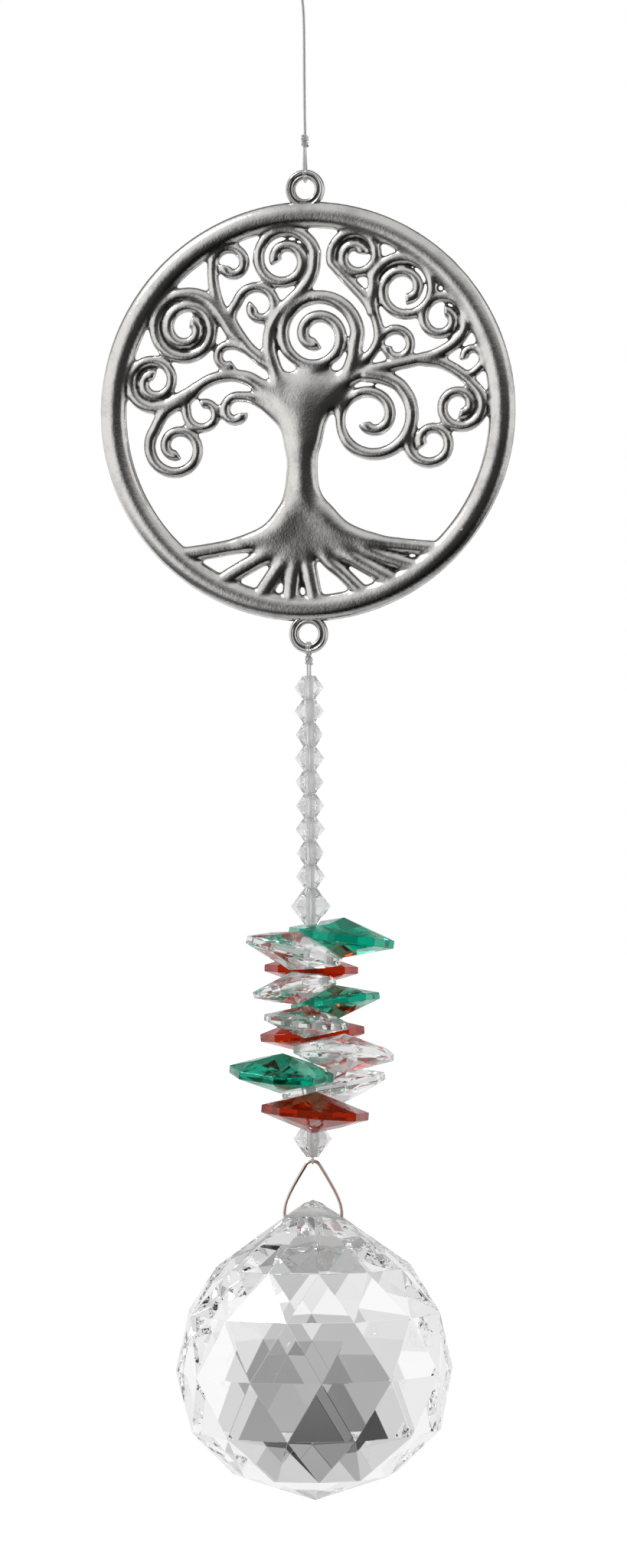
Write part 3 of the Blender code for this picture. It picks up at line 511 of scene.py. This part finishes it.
def knotGrower():
    tree, given = newGrower("woundKnot", {
        "Turns": ("NodeSocketFloat", 1.75), "Lobe Radius": ("NodeSocketFloat", 0.0004),
        "Lobe Height": ("NodeSocketFloat", 0.0008), "Strand": ("NodeSocketFloat", 0.0002),
        "Material": ("NodeSocketMaterial", None)})
    inputs = {socket.name: Value(tree, socket) for socket in given.outputs if socket.name}
    profile = node(tree, "GeometryNodeCurvePrimitiveCircle", {"mode": "RADIUS"},
                   {"Resolution": 10, "Radius": inputs["Strand"]})
    lobes = []
    for sign in (1, -1):
        spiral = node(tree, "GeometryNodeCurveSpiral", {},
                      {"Resolution": knotTurns["smooth"], "Rotations": inputs["Turns"],
                       "Start Radius": inputs["Lobe Radius"],
                       "End Radius": inputs["Lobe Radius"] * knotTurns["narrow"],
                       "Height": inputs["Lobe Height"], "Reverse": sign < 0})
        wound = node(tree, "GeometryNodeCurveToMesh", {},
                     {"Curve": spiral, "Profile Curve": profile, "Fill Caps": True})
        rise = inputs["Lobe Height"] * knotTurns["rises"][sign]
        lift = node(tree, "ShaderNodeCombineXYZ", {}, {"Z": rise})
        lobes.append(node(tree, "GeometryNodeTransform", {}, {"Geometry": wound, "Translation": lift}))
    joined = tree.nodes.new("GeometryNodeJoinGeometry")
    for lobe in reversed(lobes):
        tree.links.new(lobe.socket, joined.inputs[0])
    endGrower(tree, Value(tree, joined.outputs[0]), inputs["Material"])
    return tree


def woundKnot(tree, name, nodeName, strand, finish):
    low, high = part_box(nodeName)
    size = high - low
    turnRadius = (min(size.x, size.y) / 2 - strand / 2) * knotTurns["tight"]
    seed = newObject(name, bpy.data.meshes.new(name))
    grown(seed, tree, {"Turns": knotTurns["turns"], "Lobe Radius": turnRadius,
                       "Lobe Height": (size.z - strand) / knotTurns["lobes"], "Strand": strand / 2,
                       "Material": finish})
    knot = settled(seed, name)
    wide = Matrix.Diagonal((size.x / min(size.x, size.y), size.y / min(size.x, size.y), 1, 1))
    knot.data.transform(Matrix.Translation((low + high) / 2) @ wide)
    smoothShaded(knot)
    return finishedPiece(knot, "line", nodeName)


def hangingLine(finish):
    points = cordRoute()
    cord = strandCurve("hangingLine", points, cordSizes["thick"], finish)
    finishedPiece(cord, "line", "hanging_cord")
    tree = knotGrower()
    knots = [woundKnot(tree, name, nodeName, knotTurns["cordStrand"], finish)
             for name, nodeName in (("hangingKnot", "cord_knot"), ("loopTie", "loop_knot"))]
    routeLength(points)
    print("hanging line made,", round(routeLength(points) * 1000, 1), "mm of it")
    return tree


threadSizes = dict(thick=0.30 * mm, gap=0.05 * mm, knotToBeads=1.5 * mm, underBead=0.30 * mm,
                   wireThick=0.46 * mm, smallHigh=3.4 * mm, pitch=2.57 * mm, lowerBar=-107.325 * mm,
                   spacing=0.5 * mm)


# The beads' thread: tied under the lower eye, down through all the beads, round the wire and back
def beadThread(finish, knotTree):
    size = threadSizes
    low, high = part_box("thread_knot")
    top, foot = high.z, low.z
    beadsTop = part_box("bicone_small_1")[1].z
    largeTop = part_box("bicone_large_top")[1].z
    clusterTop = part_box("bicone_large_top")[0].z
    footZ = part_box("bicone_large_bottom")[0].z
    side = (size["thick"] + size["gap"]) / 2
    barDeep = (cordSizes["eyeDeep"] + size["thick"]) / 2 + size["gap"]
    barUp = cordSizes["eyeTube"] + size["thick"] / 2 + size["gap"]
    bar = size["lowerBar"]
    lap = [
        (side, -side, top - 0.3 * mm),
        (side, -side, top),
        (side, -0.75 * barDeep, bar - 0.78 * barUp),
        (side, -barDeep, bar - 0.1 * mm),
        (side, -0.7 * barDeep, bar + 0.78 * barUp),
        (side, 0, bar + barUp),
        (side, 0.7 * barDeep, bar + 0.78 * barUp),
        (side, barDeep, bar - 0.1 * mm),
        (side, 0.75 * barDeep, bar - 0.78 * barUp),
        (side, side, top),
    ]
    through = [
        (side, side, foot),
        (side, 0.4 * side, foot - 0.6 * size["knotToBeads"]),
        (side, 0, beadsTop - size["smallHigh"]),
        (0.9 * side, 0.4 * side, largeTop),
        (0.6 * side, 0.8 * side, clusterTop),
        (0.2 * side, side, clusterTop - 5 * size["pitch"]),
        (0, side, footZ + 0.6 * mm),
    ]
    half = (size["wireThick"] + size["thick"]) / 2 + size["gap"]
    under = footZ - size["underBead"] - size["wireThick"] / 2
    turn = [(0, 0.75 * half, footZ), (0, half, under), (0, 0.7 * half, under - 0.75 * half)]
    back = [(-x, -y, z) for x, y, z in reversed(through + turn)]
    lastLap = [(-side, -side, top)] + [(-x, -y, z) for x, y, z in lap[2:]]
    route = lap + through + turn + [(0, 0, under - half)] + back + lastLap
    route.append((-side, side, top - 0.3 * mm))
    thread = strandCurve("beadThread", smoothRoute(route, size["spacing"]), size["thick"], finish,
                         roundness=2)
    finishedPiece(thread, "line", "bead_thread")
    woundKnot(knotTree, "threadKnot", "thread_knot", knotTurns["threadStrand"], finish)
    print("bead thread made")


# The tree of life in the disc's own plane: x to the right, y up, in millimetres from the disc's centre.
# A branch is a stem and, where it curls, an eye: centre, first and last radius, first angle, sweep.
branches = {
    "crownLeft": dict(stem=[(-1.5, -6), (-3.0, 0), (-4.7, 5.8), (-6.5, 7.5), (-8.4, 9.2), (-9.9, 11.2),
                            (-11.1, 13.2)], eye=None, width=(3.4, 1.8)),
    "limbLeft": dict(stem=[(-1.2, -4.5), (-3.4, 1.2), (-6.0, 3.3), (-8.2, 4.8), (-10.9, 5.4),
                           (-13.6, 5.0), (-15.8, 3.8), (-17.3, 2.3), (-18.9, 1.3)], eye=None,
                     width=(3.6, 1.7)),
    "limbRight": dict(stem=[(0.2, -5.0), (2.2, 1.0), (4.8, 3.7), (7.3, 5.0), (9.5, 5.8), (12.5, 6.4),
                            (15.4, 7.0), (18.6, 7.7)], eye=None, width=(3.6, 1.7)),
    "crownRight": dict(stem=[(-0.2, -6.0), (2.0, -0.5), (5.6, 4.0), (7.6, 6.5), (9.5, 8.2), (10.5, 10.2),
                             (10.3, 12.7), (9.3, 15.2)], eye=None, width=(3.2, 1.5)),
    "a": dict(stem=[(-11.1, 13.2), (-12.4, 14.9), (-13.2, 17.1), (-13.6, 19.6)],
              eye=((-10.9, 21.4), 2.7, 0.9, 175, -350), width=(1.71, 1.46)),
    "b": dict(stem=[(-3.6, 3.4), (-4.7, 6.8), (-5.4, 9.0), (-5.2, 11.7), (-4.0, 14.1), (-2.0, 16.1),
                    (-0.3, 17.8), (1.0, 20.0)], eye=((-3.1, 21.9), 4.6, 1.2, 12, 545), width=(2.05, 1.59)),
    "c": dict(stem=[(3.6, 2.6), (5.6, 4.9), (6.8, 7.3), (7.2, 9.7)], eye=((1.5, 10.9), 6.0, 1.0, 2, 640),
              width=(2.17, 1.71)),
    "d": dict(stem=[(-9.6, 10.6), (-10.7, 11.4), (-11.9, 13.4)], eye=((-17.5, 12.3), 5.2, 1.2, 34, 745),
              width=(1.94, 1.59)),
    "e": dict(stem=[(-9.9, 10.8), (-10.8, 12.4), (-10.9, 14.4)], eye=((-6.9, 15.2), 3.2, 0.8, 165, -370),
              width=(1.6, 1.46)),
    "f": dict(stem=[(-7.2, 8.3), (-8.9, 9.2), (-10.4, 9.8)], eye=((-11.4, 8.1), 1.7, 1.3, 80, 225),
              width=(1.48, 1.34)),
    "g": dict(stem=[(-17.0, 3.0), (-18.6, 2.2), (-20.4, 1.2)], eye=((-22.3, 4.7), 3.8, 0.9, -92, -545),
              width=(1.82, 1.46)),
    "h": dict(stem=[(-17.5, 2.2), (-19.0, 1.4), (-21.0, 0.0)], eye=((-19.0, -4.9), 4.2, 0.9, 142, 500),
              width=(1.82, 1.46)),
    "i": dict(stem=[(-15.9, 4.0), (-17.2, 3.0), (-17.7, 1.4)], eye=((-15.1, 0.1), 2.5, 1.2, 184, 285),
              width=(1.48, 1.34)),
    "j": dict(stem=[(-2.6, -2.6), (-4.8, -0.4), (-6.5, 1.2), (-8.3, 2.2)],
              eye=((-10.2, 0.2), 2.2, 0.8, 74, 270), width=(1.82, 1.46)),
    "k": dict(stem=[(9.7, 14.4), (8.8, 15.9), (7.1, 17.8), (5.0, 20.0)],
              eye=((7.4, 22.3), 3.7, 0.9, -165, -545), width=(1.71, 1.46)),
    "l": dict(stem=[(9.8, 13.8), (9.5, 15.6), (9.9, 17.8)], eye=((14.3, 17.3), 4.8, 1.4, 158, -600),
              width=(1.82, 1.46)),
    "m": dict(stem=[(17.2, 7.2), (19.3, 8.0), (21.4, 9.3), (23.0, 11.2)],
              eye=((19.7, 13.0), 3.5, 1.1, 8, 425), width=(1.82, 1.46)),
    "n": dict(stem=[(10.2, 9.4), (11.3, 10.9)], eye=((13.1, 9.3), 2.3, 1.4, 112, -290), width=(1.48, 1.34)),
    "o": dict(stem=[(16.8, 7.1), (19.1, 6.8), (21.3, 5.8), (23.1, 4.5)],
              eye=((22.2, 0.4), 3.5, 1.0, 46, -500), width=(1.71, 1.46)),
    "p": dict(stem=[(22.4, 4.6), (24.2, 5.1)], eye=((24.0, 7.2), 1.7, 1.1, -35, 225), width=(1.37, 1.22)),
    "q": dict(stem=[(8.4, 5.2), (11.2, 4.7), (13.4, 3.6)], eye=((9.3, -1.0), 6.1, 1.2, 28, -530),
              width=(2.05, 1.59)),
    "r": dict(stem=[(15.1, -1.2), (14.9, -3.4)], eye=((18.0, -4.7), 3.3, 1.3, 182, 385), width=(1.6, 1.46)),
}

# Roots, from the trunk's foot out to the ring
roots = {
    "root1": dict(stem=[(-2.2, -14.5), (-5.0, -17.3), (-8.6, -18.7), (-13.2, -19.7), (-18.2, -20.4)],
                  width=(4.4, 2.1)),
    "root2": dict(stem=[(-2.2, -17.0), (-4.6, -19.7), (-7.6, -21.4), (-11.6, -23.7), (-12.6, -24.4)],
                  width=(2.7, 2.3)),
    "root3": dict(stem=[(-1.8, -17.5), (-3.0, -20.7), (-4.5, -22.9), (-6.8, -26.3)], width=(2.5, 2.4)),
    "root4": dict(stem=[(-1.0, -17.5), (-1.6, -21.0), (-2.2, -23.6), (-2.6, -27.2)], width=(2.3, 2.4)),
    "root5": dict(stem=[(-0.4, -17.5), (-0.1, -21.2), (0.3, -23.6), (1.0, -27.2)], width=(2.3, 2.2)),
    "root6": dict(stem=[(0.9, -17.5), (2.7, -21.1), (5.0, -23.3), (7.9, -26.2)], width=(2.5, 2.0)),
    "root7": dict(stem=[(2.0, -17.2), (4.9, -19.9), (8.2, -22.1), (12.4, -24.5)], width=(2.8, 2.3)),
    "root8": dict(stem=[(3.0, -16.8), (6.8, -18.9), (10.6, -20.9), (15.8, -22.6)], width=(2.7, 2.1)),
    "root9": dict(stem=[(1.4, -14.5), (4.6, -17.2), (8.4, -18.6), (13.2, -19.4), (18.9, -20.0)],
                  width=(4.4, 2.0)),
}

# Trunk: height, middle, half width and half depth of each section
trunkSections = [
    (-21.4, -0.3, 2.4, 0.70), (-20.4, -0.3, 4.2, 0.95), (-18.9, -0.3, 6.4, 1.10), (-17.3, -0.4, 7.6, 1.15),
    (-15.8, 0.0, 5.6, 1.20), (-13.2, -0.5, 3.6, 1.35), (-10.8, -0.8, 2.7, 1.45), (-7.5, -0.75, 2.4, 1.50),
    (-4.6, -0.7, 2.6, 1.50), (-2.2, -0.8, 3.1, 1.45), (-0.4, -0.8, 3.7, 1.40), (2.6, -0.4, 5.0, 1.25),
    (4.4, 0.4, 5.9, 0.95), (5.4, 0.8, 5.6, 0.60), (6.1, 1.0, 5.0, 0.20),
]

castSizes = dict(down=73.2, ringOuter=30.26, ringInner=26.40, ringDeep=2.6, eyeOuter=2.83, eyeInner=1.44,
                 eyeDeep=1.6, eyeSink=1.1, eyeGroove=2.09, branchDeep=1.08, halfDeepest=1.5,
                 curlEase=1.2, curlStep=9.0, tipSwell=1.16, taperOver=0.6, stemStep=0.5,
                 voxel=0.235, widen=1.10, linePasses=4, trunkPasses=60, keepShare=0.62, lineSides=16,
                 trunkSides=40, ringSides=28, ringSteps=220, eyeSteps=72, weld=0.0001, creaseRings=5,
                 creaseGain=6.0, creaseLeast=-0.25, creaseMost=1.5, creaseLift=1.8, flankWide=0.40)


def curlPoints(centre, firstRadius, lastRadius, firstDegrees, sweep):
    steps = max(8, round(abs(sweep) / castSizes["curlStep"]))
    points = []
    for index in range(steps + 1):
        share = index / steps
        angle = math.radians(firstDegrees + sweep * share)
        radius = firstRadius + (lastRadius - firstRadius) * share**castSizes["curlEase"]
        points.append((centre[0] + radius * math.cos(angle), centre[1] + radius * math.sin(angle), 0))
    return points


# Every branch and root as one spline, its radius in the curve's own radius
def castCurves():
    size = castSizes
    data = bpy.data.curves.new("castLines", "CURVE")
    data.dimensions = "3D"
    for shape in [*branches.values(), *roots.values()]:
        flat = [(x, y, 0) for x, y in shape["stem"]]
        eye = shape.get("eye")
        if eye:
            curl = [Vector(point) for point in curlPoints(*eye)]
            route = smoothRoute([*flat, curl[0]], size["stemStep"]) + curl[1:]
        else:
            route = smoothRoute(flat, size["stemStep"])
        first, last = shape["width"]
        along = [0.0]
        for start, stop in zip(route, route[1:]):
            along.append(along[-1] + (stop - start).length)
        taperEnd = size["taperOver"] * along[-1]
        spline = data.splines.new("POLY")
        spline.points.add(len(route) - 1)
        for index, point in enumerate(route):
            width = first + (last - first) * min(1.0, along[index] / taperEnd)
            left = along[-1] - along[index]
            if eye and left < last:
                width *= 1 + (size["tipSwell"] - 1) * (1 - left / last)
            spline.points[index].co = (point.x, 0, point.y, 1.0)
            spline.points[index].radius = width / 2 * size["widen"]
    return newObject("castLines", data)


def castGrower():
    tree, given = newGrower("castScrolls", {
        "Sides": ("NodeSocketInt", 16), "Depth": ("NodeSocketFloat", 1.0),
        "Half Depth": ("NodeSocketFloat", 1.5), "Material": ("NodeSocketMaterial", None)})
    inputs = {socket.name: Value(tree, socket) for socket in given.outputs if socket.name}
    profile = node(tree, "GeometryNodeCurvePrimitiveCircle", {"mode": "RADIUS"},
                   {"Resolution": inputs["Sides"], "Radius": 1.0})
    thick = node(tree, "GeometryNodeInputRadius")
    swept = node(tree, "GeometryNodeCurveToMesh", {},
                 {"Curve": inputs["Geometry"], "Profile Curve": profile, "Scale": thick, "Fill Caps": True})
    place = node(tree, "GeometryNodeInputPosition")
    apart = tree.nodes.new("ShaderNodeSeparateXYZ")
    tree.links.new(place.socket, apart.inputs[0])
    across, deep, up = (Value(tree, output) for output in apart.outputs)
    limit = inputs["Half Depth"]
    swell = deep * inputs["Depth"] / limit
    domed = swell.worked("TANH", swell) * limit
    moved = node(tree, "ShaderNodeCombineXYZ", {}, {"X": across, "Y": domed, "Z": up})
    shaped = node(tree, "GeometryNodeSetPosition", {}, {"Geometry": swept, "Position": moved})
    endGrower(tree, shaped, inputs["Material"])
    return tree


def loftedTrunk():
    size = castSizes
    heights = smoothRoute([(row[1], row[0], 0) for row in trunkSections], size["stemStep"])
    widths = [Vector(row[2:]) for row in trunkSections]
    knotHeights = [row[0] for row in trunkSections]
    work = bmesh.new()
    loops = []
    for spot in heights:
        halfWidth = float(np.interp(spot.y, knotHeights, [point.x for point in widths]))
        halfDeep = float(np.interp(spot.y, knotHeights, [point.y for point in widths]))
        ring = []
        for side in range(size["trunkSides"]):
            angle = 2 * math.pi * side / size["trunkSides"]
            across = spot.x + halfWidth * math.cos(angle)
            ring.append(work.verts.new((across, halfDeep * math.sin(angle), spot.y)))
        loops.append(ring)
    for low, high in zip(loops, loops[1:]):
        for side in range(size["trunkSides"]):
            after = (side + 1) % size["trunkSides"]
            work.faces.new((low[side], low[after], high[after], high[side]))
    work.faces.new(loops[0][::-1])
    work.faces.new(loops[-1])
    bmesh.ops.recalc_face_normals(work, faces=work.faces)
    mesh = bpy.data.meshes.new("trunk")
    work.to_mesh(mesh)
    work.free()
    return newObject("trunk", mesh)


# A ring turned from a closed section of (radius, depth) points, lying in the disc's plane
def turnedRing(name, section, steps, centreUp):
    work = bmesh.new()
    loops = []
    for index in range(steps):
        angle = 2 * math.pi * index / steps
        loop = [(r * math.cos(angle), y, centreUp + r * math.sin(angle)) for r, y in section]
        loops.append([work.verts.new(place) for place in loop])
    for loop, after in zip(loops, loops[1:] + loops[:1]):
        for index in range(len(section)):
            follow = (index + 1) % len(section)
            work.faces.new((loop[index], loop[follow], after[follow], after[index]))
    bmesh.ops.recalc_face_normals(work, faces=work.faces)
    mesh = bpy.data.meshes.new(name)
    work.to_mesh(mesh)
    work.free()
    return newObject(name, mesh)


def ovalSection(inner, outer, deep, count):
    middle, half = (inner + outer) / 2, (outer - inner) / 2
    turns = [2 * math.pi * index / count for index in range(count)]
    return [(middle + half * math.cos(turn), deep / 2 * math.sin(turn)) for turn in turns]


eyeFace = dict(low=0.52, innerRidge=0.20, outerRidge=0.48, roundness=0.8, edgeRise=6, innerEdge=0.55,
               outerEdge=0.45)


# The eye's section: a round outer ridge and a lower inner one with a groove between, the same on both faces
def eyeSection(count=14):
    size = castSizes
    face = eyeFace
    front = []
    for index in range(count + 1):
        share = index / count
        radius = size["eyeInner"] + (size["eyeOuter"] - size["eyeInner"]) * share
        split = (size["eyeGroove"] - size["eyeInner"]) / (size["eyeOuter"] - size["eyeInner"])
        if share < split:
            high = face["low"] + face["innerRidge"] * math.sin(math.pi * share / split)
        else:
            arch = math.sin(math.pi * (share - split) / (1 - split)) ** face["roundness"]
            high = face["low"] + face["outerRidge"] * arch
        edge = min(1.0, face["edgeRise"] * share + face["innerEdge"],
                   face["edgeRise"] * (1 - share) + face["outerEdge"])
        front.append((radius, high * edge * size["eyeDeep"] / 2))
    return front + [(r, -y) for r, y in reversed(front)]


# A mesh's vertices and edges as arrays, and the mean of each vertex's neighbours
class Skin:
    def __init__(self, mesh):
        self.mesh = mesh
        self.count = len(mesh.vertices)
        self.place = self.read(mesh.vertices, "co")
        self.facing = self.read(mesh.vertices, "normal")
        self.ends = np.zeros(len(mesh.edges) * 2, int)
        mesh.edges.foreach_get("vertices", self.ends)
        self.ends = self.ends.reshape(-1, 2)
        self.degree = np.bincount(self.ends.ravel(), minlength=self.count)

    def read(self, items, name):
        values = np.zeros(len(items) * 3)
        items.foreach_get(name, values)
        return values.reshape(-1, 3)

    def neighbours(self, values):
        first, second = self.ends.T
        total = [np.bincount(first, column[second], self.count)
                 + np.bincount(second, column[first], self.count) for column in values.T]
        return np.array(total).T / self.degree[:, None]

    def soften(self, share, passes):
        for _ in range(passes):
            self.place += 0.5 * share[:, None] * (self.neighbours(self.place) - self.place)
        self.mesh.vertices.foreach_set("co", self.place.ravel())
        self.mesh.update()

    def mark(self, name, values):
        attribute = self.mesh.attributes.new(name, "FLOAT", "POINT")
        attribute.data.foreach_set("value", values.astype(np.float32))

    # How deep each vertex lies in a crease, from how its neighbours stand over it, spread over some rings
    def creases(self):
        size = castSizes
        over = ((self.neighbours(self.place) - self.place) * self.facing).sum(1, keepdims=True)
        reach = np.sqrt(((self.place[self.ends[:, 0]] - self.place[self.ends[:, 1]]) ** 2).sum(1)).mean()
        crease = np.clip(over / reach * size["creaseGain"], size["creaseLeast"], size["creaseMost"])
        for _ in range(size["creaseRings"]):
            crease = 0.5 * crease + 0.5 * self.neighbours(crease)
        return np.clip(crease[:, 0] * size["creaseLift"], 0, 1)


# The trunk's region: its half width at some heights, its middle, and how it fades out
blend = dict(heights=[-22, -18, -13, -8, -3, 2, 6, 9], halfWide=[5, 9, 6, 4, 5, 6.5, 6.5, 3], middle=-0.4,
             fade=2.5, foot=-22.5, footFade=3, top=8.5, topFade=4)


# The lines are eased a little; the trunk, its forks and the spread of its foot run into one another
def easedCast(mesh):
    size = castSizes
    skin = Skin(mesh)
    skin.soften(np.ones(skin.count), size["linePasses"])
    across, up = skin.place[:, 0], skin.place[:, 2]
    halfWide = np.interp(up, blend["heights"], blend["halfWide"])
    inside = np.clip((halfWide - np.abs(across - blend["middle"])) / blend["fade"] + 0.5, 0, 1)
    inside *= (np.clip((up - blend["foot"]) / blend["footFade"], 0, 1)
               * np.clip((blend["top"] - up) / blend["topFade"], 0, 1))
    skin.soften(inside, size["trunkPasses"])


def treeDisc(finish):
    size = castSizes
    lines = grown(castCurves(), castGrower(), {"Sides": size["lineSides"], "Depth": size["branchDeep"],
                                               "Half Depth": size["halfDeepest"], "Material": finish})
    lines = settled(lines, "castLines", size["weld"])
    ringSection = ovalSection(size["ringInner"], size["ringOuter"], size["ringDeep"], size["ringSides"])
    pieces = [lines, loftedTrunk(), turnedRing("ring", ringSection, size["ringSteps"], 0)]
    with bpy.context.temp_override(active_object=lines, selected_editable_objects=pieces, object=lines):
        bpy.ops.object.join()
    remesh = lines.modifiers.new("oneCast", "REMESH")
    remesh.mode = "VOXEL"
    remesh.voxel_size = size["voxel"]
    cast = settled(lines, "treeDisc", size["weld"])
    easedCast(cast.data)
    fewer = cast.modifiers.new("fewer", "DECIMATE")
    fewer.ratio = size["keepShare"]
    cast = settled(cast, "treeDisc", size["weld"])
    eyeUp = size["ringOuter"] + size["eyeOuter"] - size["eyeSink"]
    for sign in (1, -1):
        eye = turnedRing("eye", eyeSection(), size["eyeSteps"], sign * eyeUp)
        union = cast.modifiers.new("eye", "BOOLEAN")
        union.operation = "UNION"
        union.solver = "MANIFOLD"
        union.object = eye
        cast = settled(cast, "treeDisc", size["weld"])
        bpy.data.objects.remove(eye, do_unlink=True)
    cast.data.transform(Matrix.Translation((0, 0, -size["down"] * mm)) @ Matrix.Scale(mm, 4))
    cast.data.update()
    skin = Skin(cast.data)
    skin.mark("crease", skin.creases())
    skin.mark("flank", np.clip(1 - np.abs(skin.place[:, 1]) / (size["flankWide"] * mm), 0, 1))
    cast.data.materials.clear()
    cast.data.materials.append(finish)
    smoothShaded(cast)
    finishedPiece(cast, "silver", "tree_disc")
    print("disc cast,", len(cast.data.polygons), "faces")


# Cut stones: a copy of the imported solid, its flat facets joined up and its edges just polished off
cutEdges = dict(flatDegrees=0.6, sharpDegrees=2, stoneEdge=0.045 * mm, beadEdge=0.035 * mm,
                ballEdge=0.10 * mm, weld=0.002 * mm, stoneBore=0.86 * mm, beadBore=0.52 * mm)


def polishedCopy(name, nodeName, edge, finish, ground, isDrilled):
    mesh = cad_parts[nodeName].data.copy()
    mesh.name = name
    work = bmesh.new()
    work.from_mesh(mesh)
    bmesh.ops.remove_doubles(work, verts=work.verts, dist=cutEdges["weld"])
    bmesh.ops.dissolve_limit(work, angle_limit=math.radians(cutEdges["flatDegrees"]), verts=work.verts,
                             edges=work.edges)
    for face in work.faces:
        face.smooth = False
        face.material_index = 1 if isDrilled(face) else 0
    least = math.radians(cutEdges["sharpDegrees"])
    sharp = [e for e in work.edges if len(e.link_faces) == 2 and e.calc_face_angle(0) > least
             and not any(face.material_index for face in e.link_faces)]
    bmesh.ops.bevel(work, geom=sharp, offset=edge, segments=1, profile=0.5, affect="EDGES",
                    clamp_overlap=True)
    mesh.materials.clear()
    mesh.materials.append(finish)
    mesh.materials.append(ground)
    work.to_mesh(mesh)
    work.free()
    return newObject(name, mesh)


def nearString(face, reach):
    middle = face.calc_center_median()
    return math.hypot(middle.x, middle.y) < reach


stones = dict(green=("green_crystal", 3), red=("red_crystal", 3), clear=("clear_crystal", 5))


def octagonStones(finishes, ground):
    for colour, (slot, count) in stones.items():
        for number in range(1, count + 1):
            name = f"octagon{colour.title()}{number}"
            nodeName = f"octagon_{colour}_{number}"
            stone = polishedCopy(name, nodeName, cutEdges["stoneEdge"], finishes[colour], ground,
                                 lambda face: nearString(face, cutEdges["stoneBore"]))
            finishedPiece(stone, slot, nodeName)
    print("octagon stones cut")


def crystalBeads(clear, ground):
    names = [f"bicone_small_{index + 1}" for index in range(9)]
    names += ["bicone_large_top", "bicone_large_bottom"]
    for nodeName in names:
        name = "bicone" + "".join(word.title() for word in nodeName.split("_")[1:])
        bead = polishedCopy(name, nodeName, cutEdges["beadEdge"], clear, ground,
                            lambda face: nearString(face, cutEdges["beadBore"]))
        finishedPiece(bead, "clear_crystal", nodeName)
    print("bicones cut")


ballHole = dict(radius=1.02 * mm, overWire=0.20 * mm, wallTilt=0.3)


def crystalBall(clear, ground):
    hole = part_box("wire_bail")[0].z + ballHole["overWire"]

    def drilled(face):
        middle = face.calc_center_median()
        near = math.hypot(middle.y, middle.z - hole) < ballHole["radius"]
        return near and abs(face.normal.x) < ballHole["wallTilt"]

    ball = polishedCopy("crystalBall", "crystal_ball", cutEdges["ballEdge"], clear, ground, drilled)
    finishedPiece(ball, "clear_crystal", "crystal_ball")
    print("ball cut,", sum(polygon.material_index for polygon in ball.data.polygons), "drilled faces")


wireBend = dict(thick=0.54 * mm, apexRadius=1.2 * mm, footRadius=0.55 * mm, endAside=0.8 * mm, steps=14,
                bow=0.06, upright=0.2 * mm, hug=0.8)


def wireBail(finish):
    size = wireBend
    low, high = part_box("wire_bail")
    thick = size["thick"]
    top = Vector((0, high.z - thick / 2 - size["apexRadius"]))
    foot = Vector((high.x - thick / 2 - size["footRadius"], low.z + thick / 2 + size["footRadius"]))
    apart = foot - top
    lean = math.atan2(apart.y, apart.x) + math.pi / 2 + size["bow"]

    def bend(centre, radius, first, last):
        angles = [first + (last - first) * index / size["steps"] for index in range(size["steps"] + 1)]
        return [Vector((centre.x + radius * math.cos(a), 0, centre.y + radius * math.sin(a)))
                for a in angles]

    right = bend(top, size["apexRadius"], math.pi / 2, lean)
    start = right[-1]
    end = Vector((foot.x + size["footRadius"], 0, foot.y + size["upright"]))
    knee = start + Vector((1, 0, -math.cos(lean) / math.sin(lean))) * (end.x - start.x)
    knots = [start, start.lerp(knee, size["hug"]), end.lerp(knee, size["hug"]), end]
    for step in range(1, size["steps"] + 1):
        t = step / size["steps"]
        shares = ((1 - t) ** 3, 3 * t * (1 - t) ** 2, 3 * t * t * (1 - t), t ** 3)
        right.append(sum((knot * share for knot, share in zip(knots, shares)), Vector((0, 0, 0))))
    right += bend(foot, size["footRadius"], 0, -math.pi / 2)
    right.append(Vector((size["endAside"], 0, low.z + thick / 2)))
    left = [Vector((-point.x, 0, point.z)) for point in reversed(right[1:])]
    wire = strandCurve("wireBail", left + right, thick, finish, roundness=4)
    finishedPiece(wire, "copper_wire", "wire_bail")
    print("wire bent")


placeCamera()
lightStudio()
letLightThroughCrystal()
silver = antiqueSilver()
copper = copperFinish()
nylon = lineFinish("clearLine")
clearGlass = crystalFinish("clearCrystal", glassLook["clear"])
groundGlass = crystalFinish("groundCrystal", glassLook["ground"], glassLook["groundRough"],
                            glassLook["groundThrough"])
coloured = {"clear": clearGlass}
for colour, tint in (("green", "emerald"), ("red", "hyacinth")):
    coloured[colour] = crystalFinish(tint + "Crystal", glassLook[tint], shine=glassLook[tint + "Shine"])
knotTree = hangingLine(nylon)
beadThread(nylon, knotTree)
octagonStones(coloured, groundGlass)
crystalBeads(clearGlass, groundGlass)
crystalBall(clearGlass, groundGlass)
wireBail(copper)
treeDisc(silver)
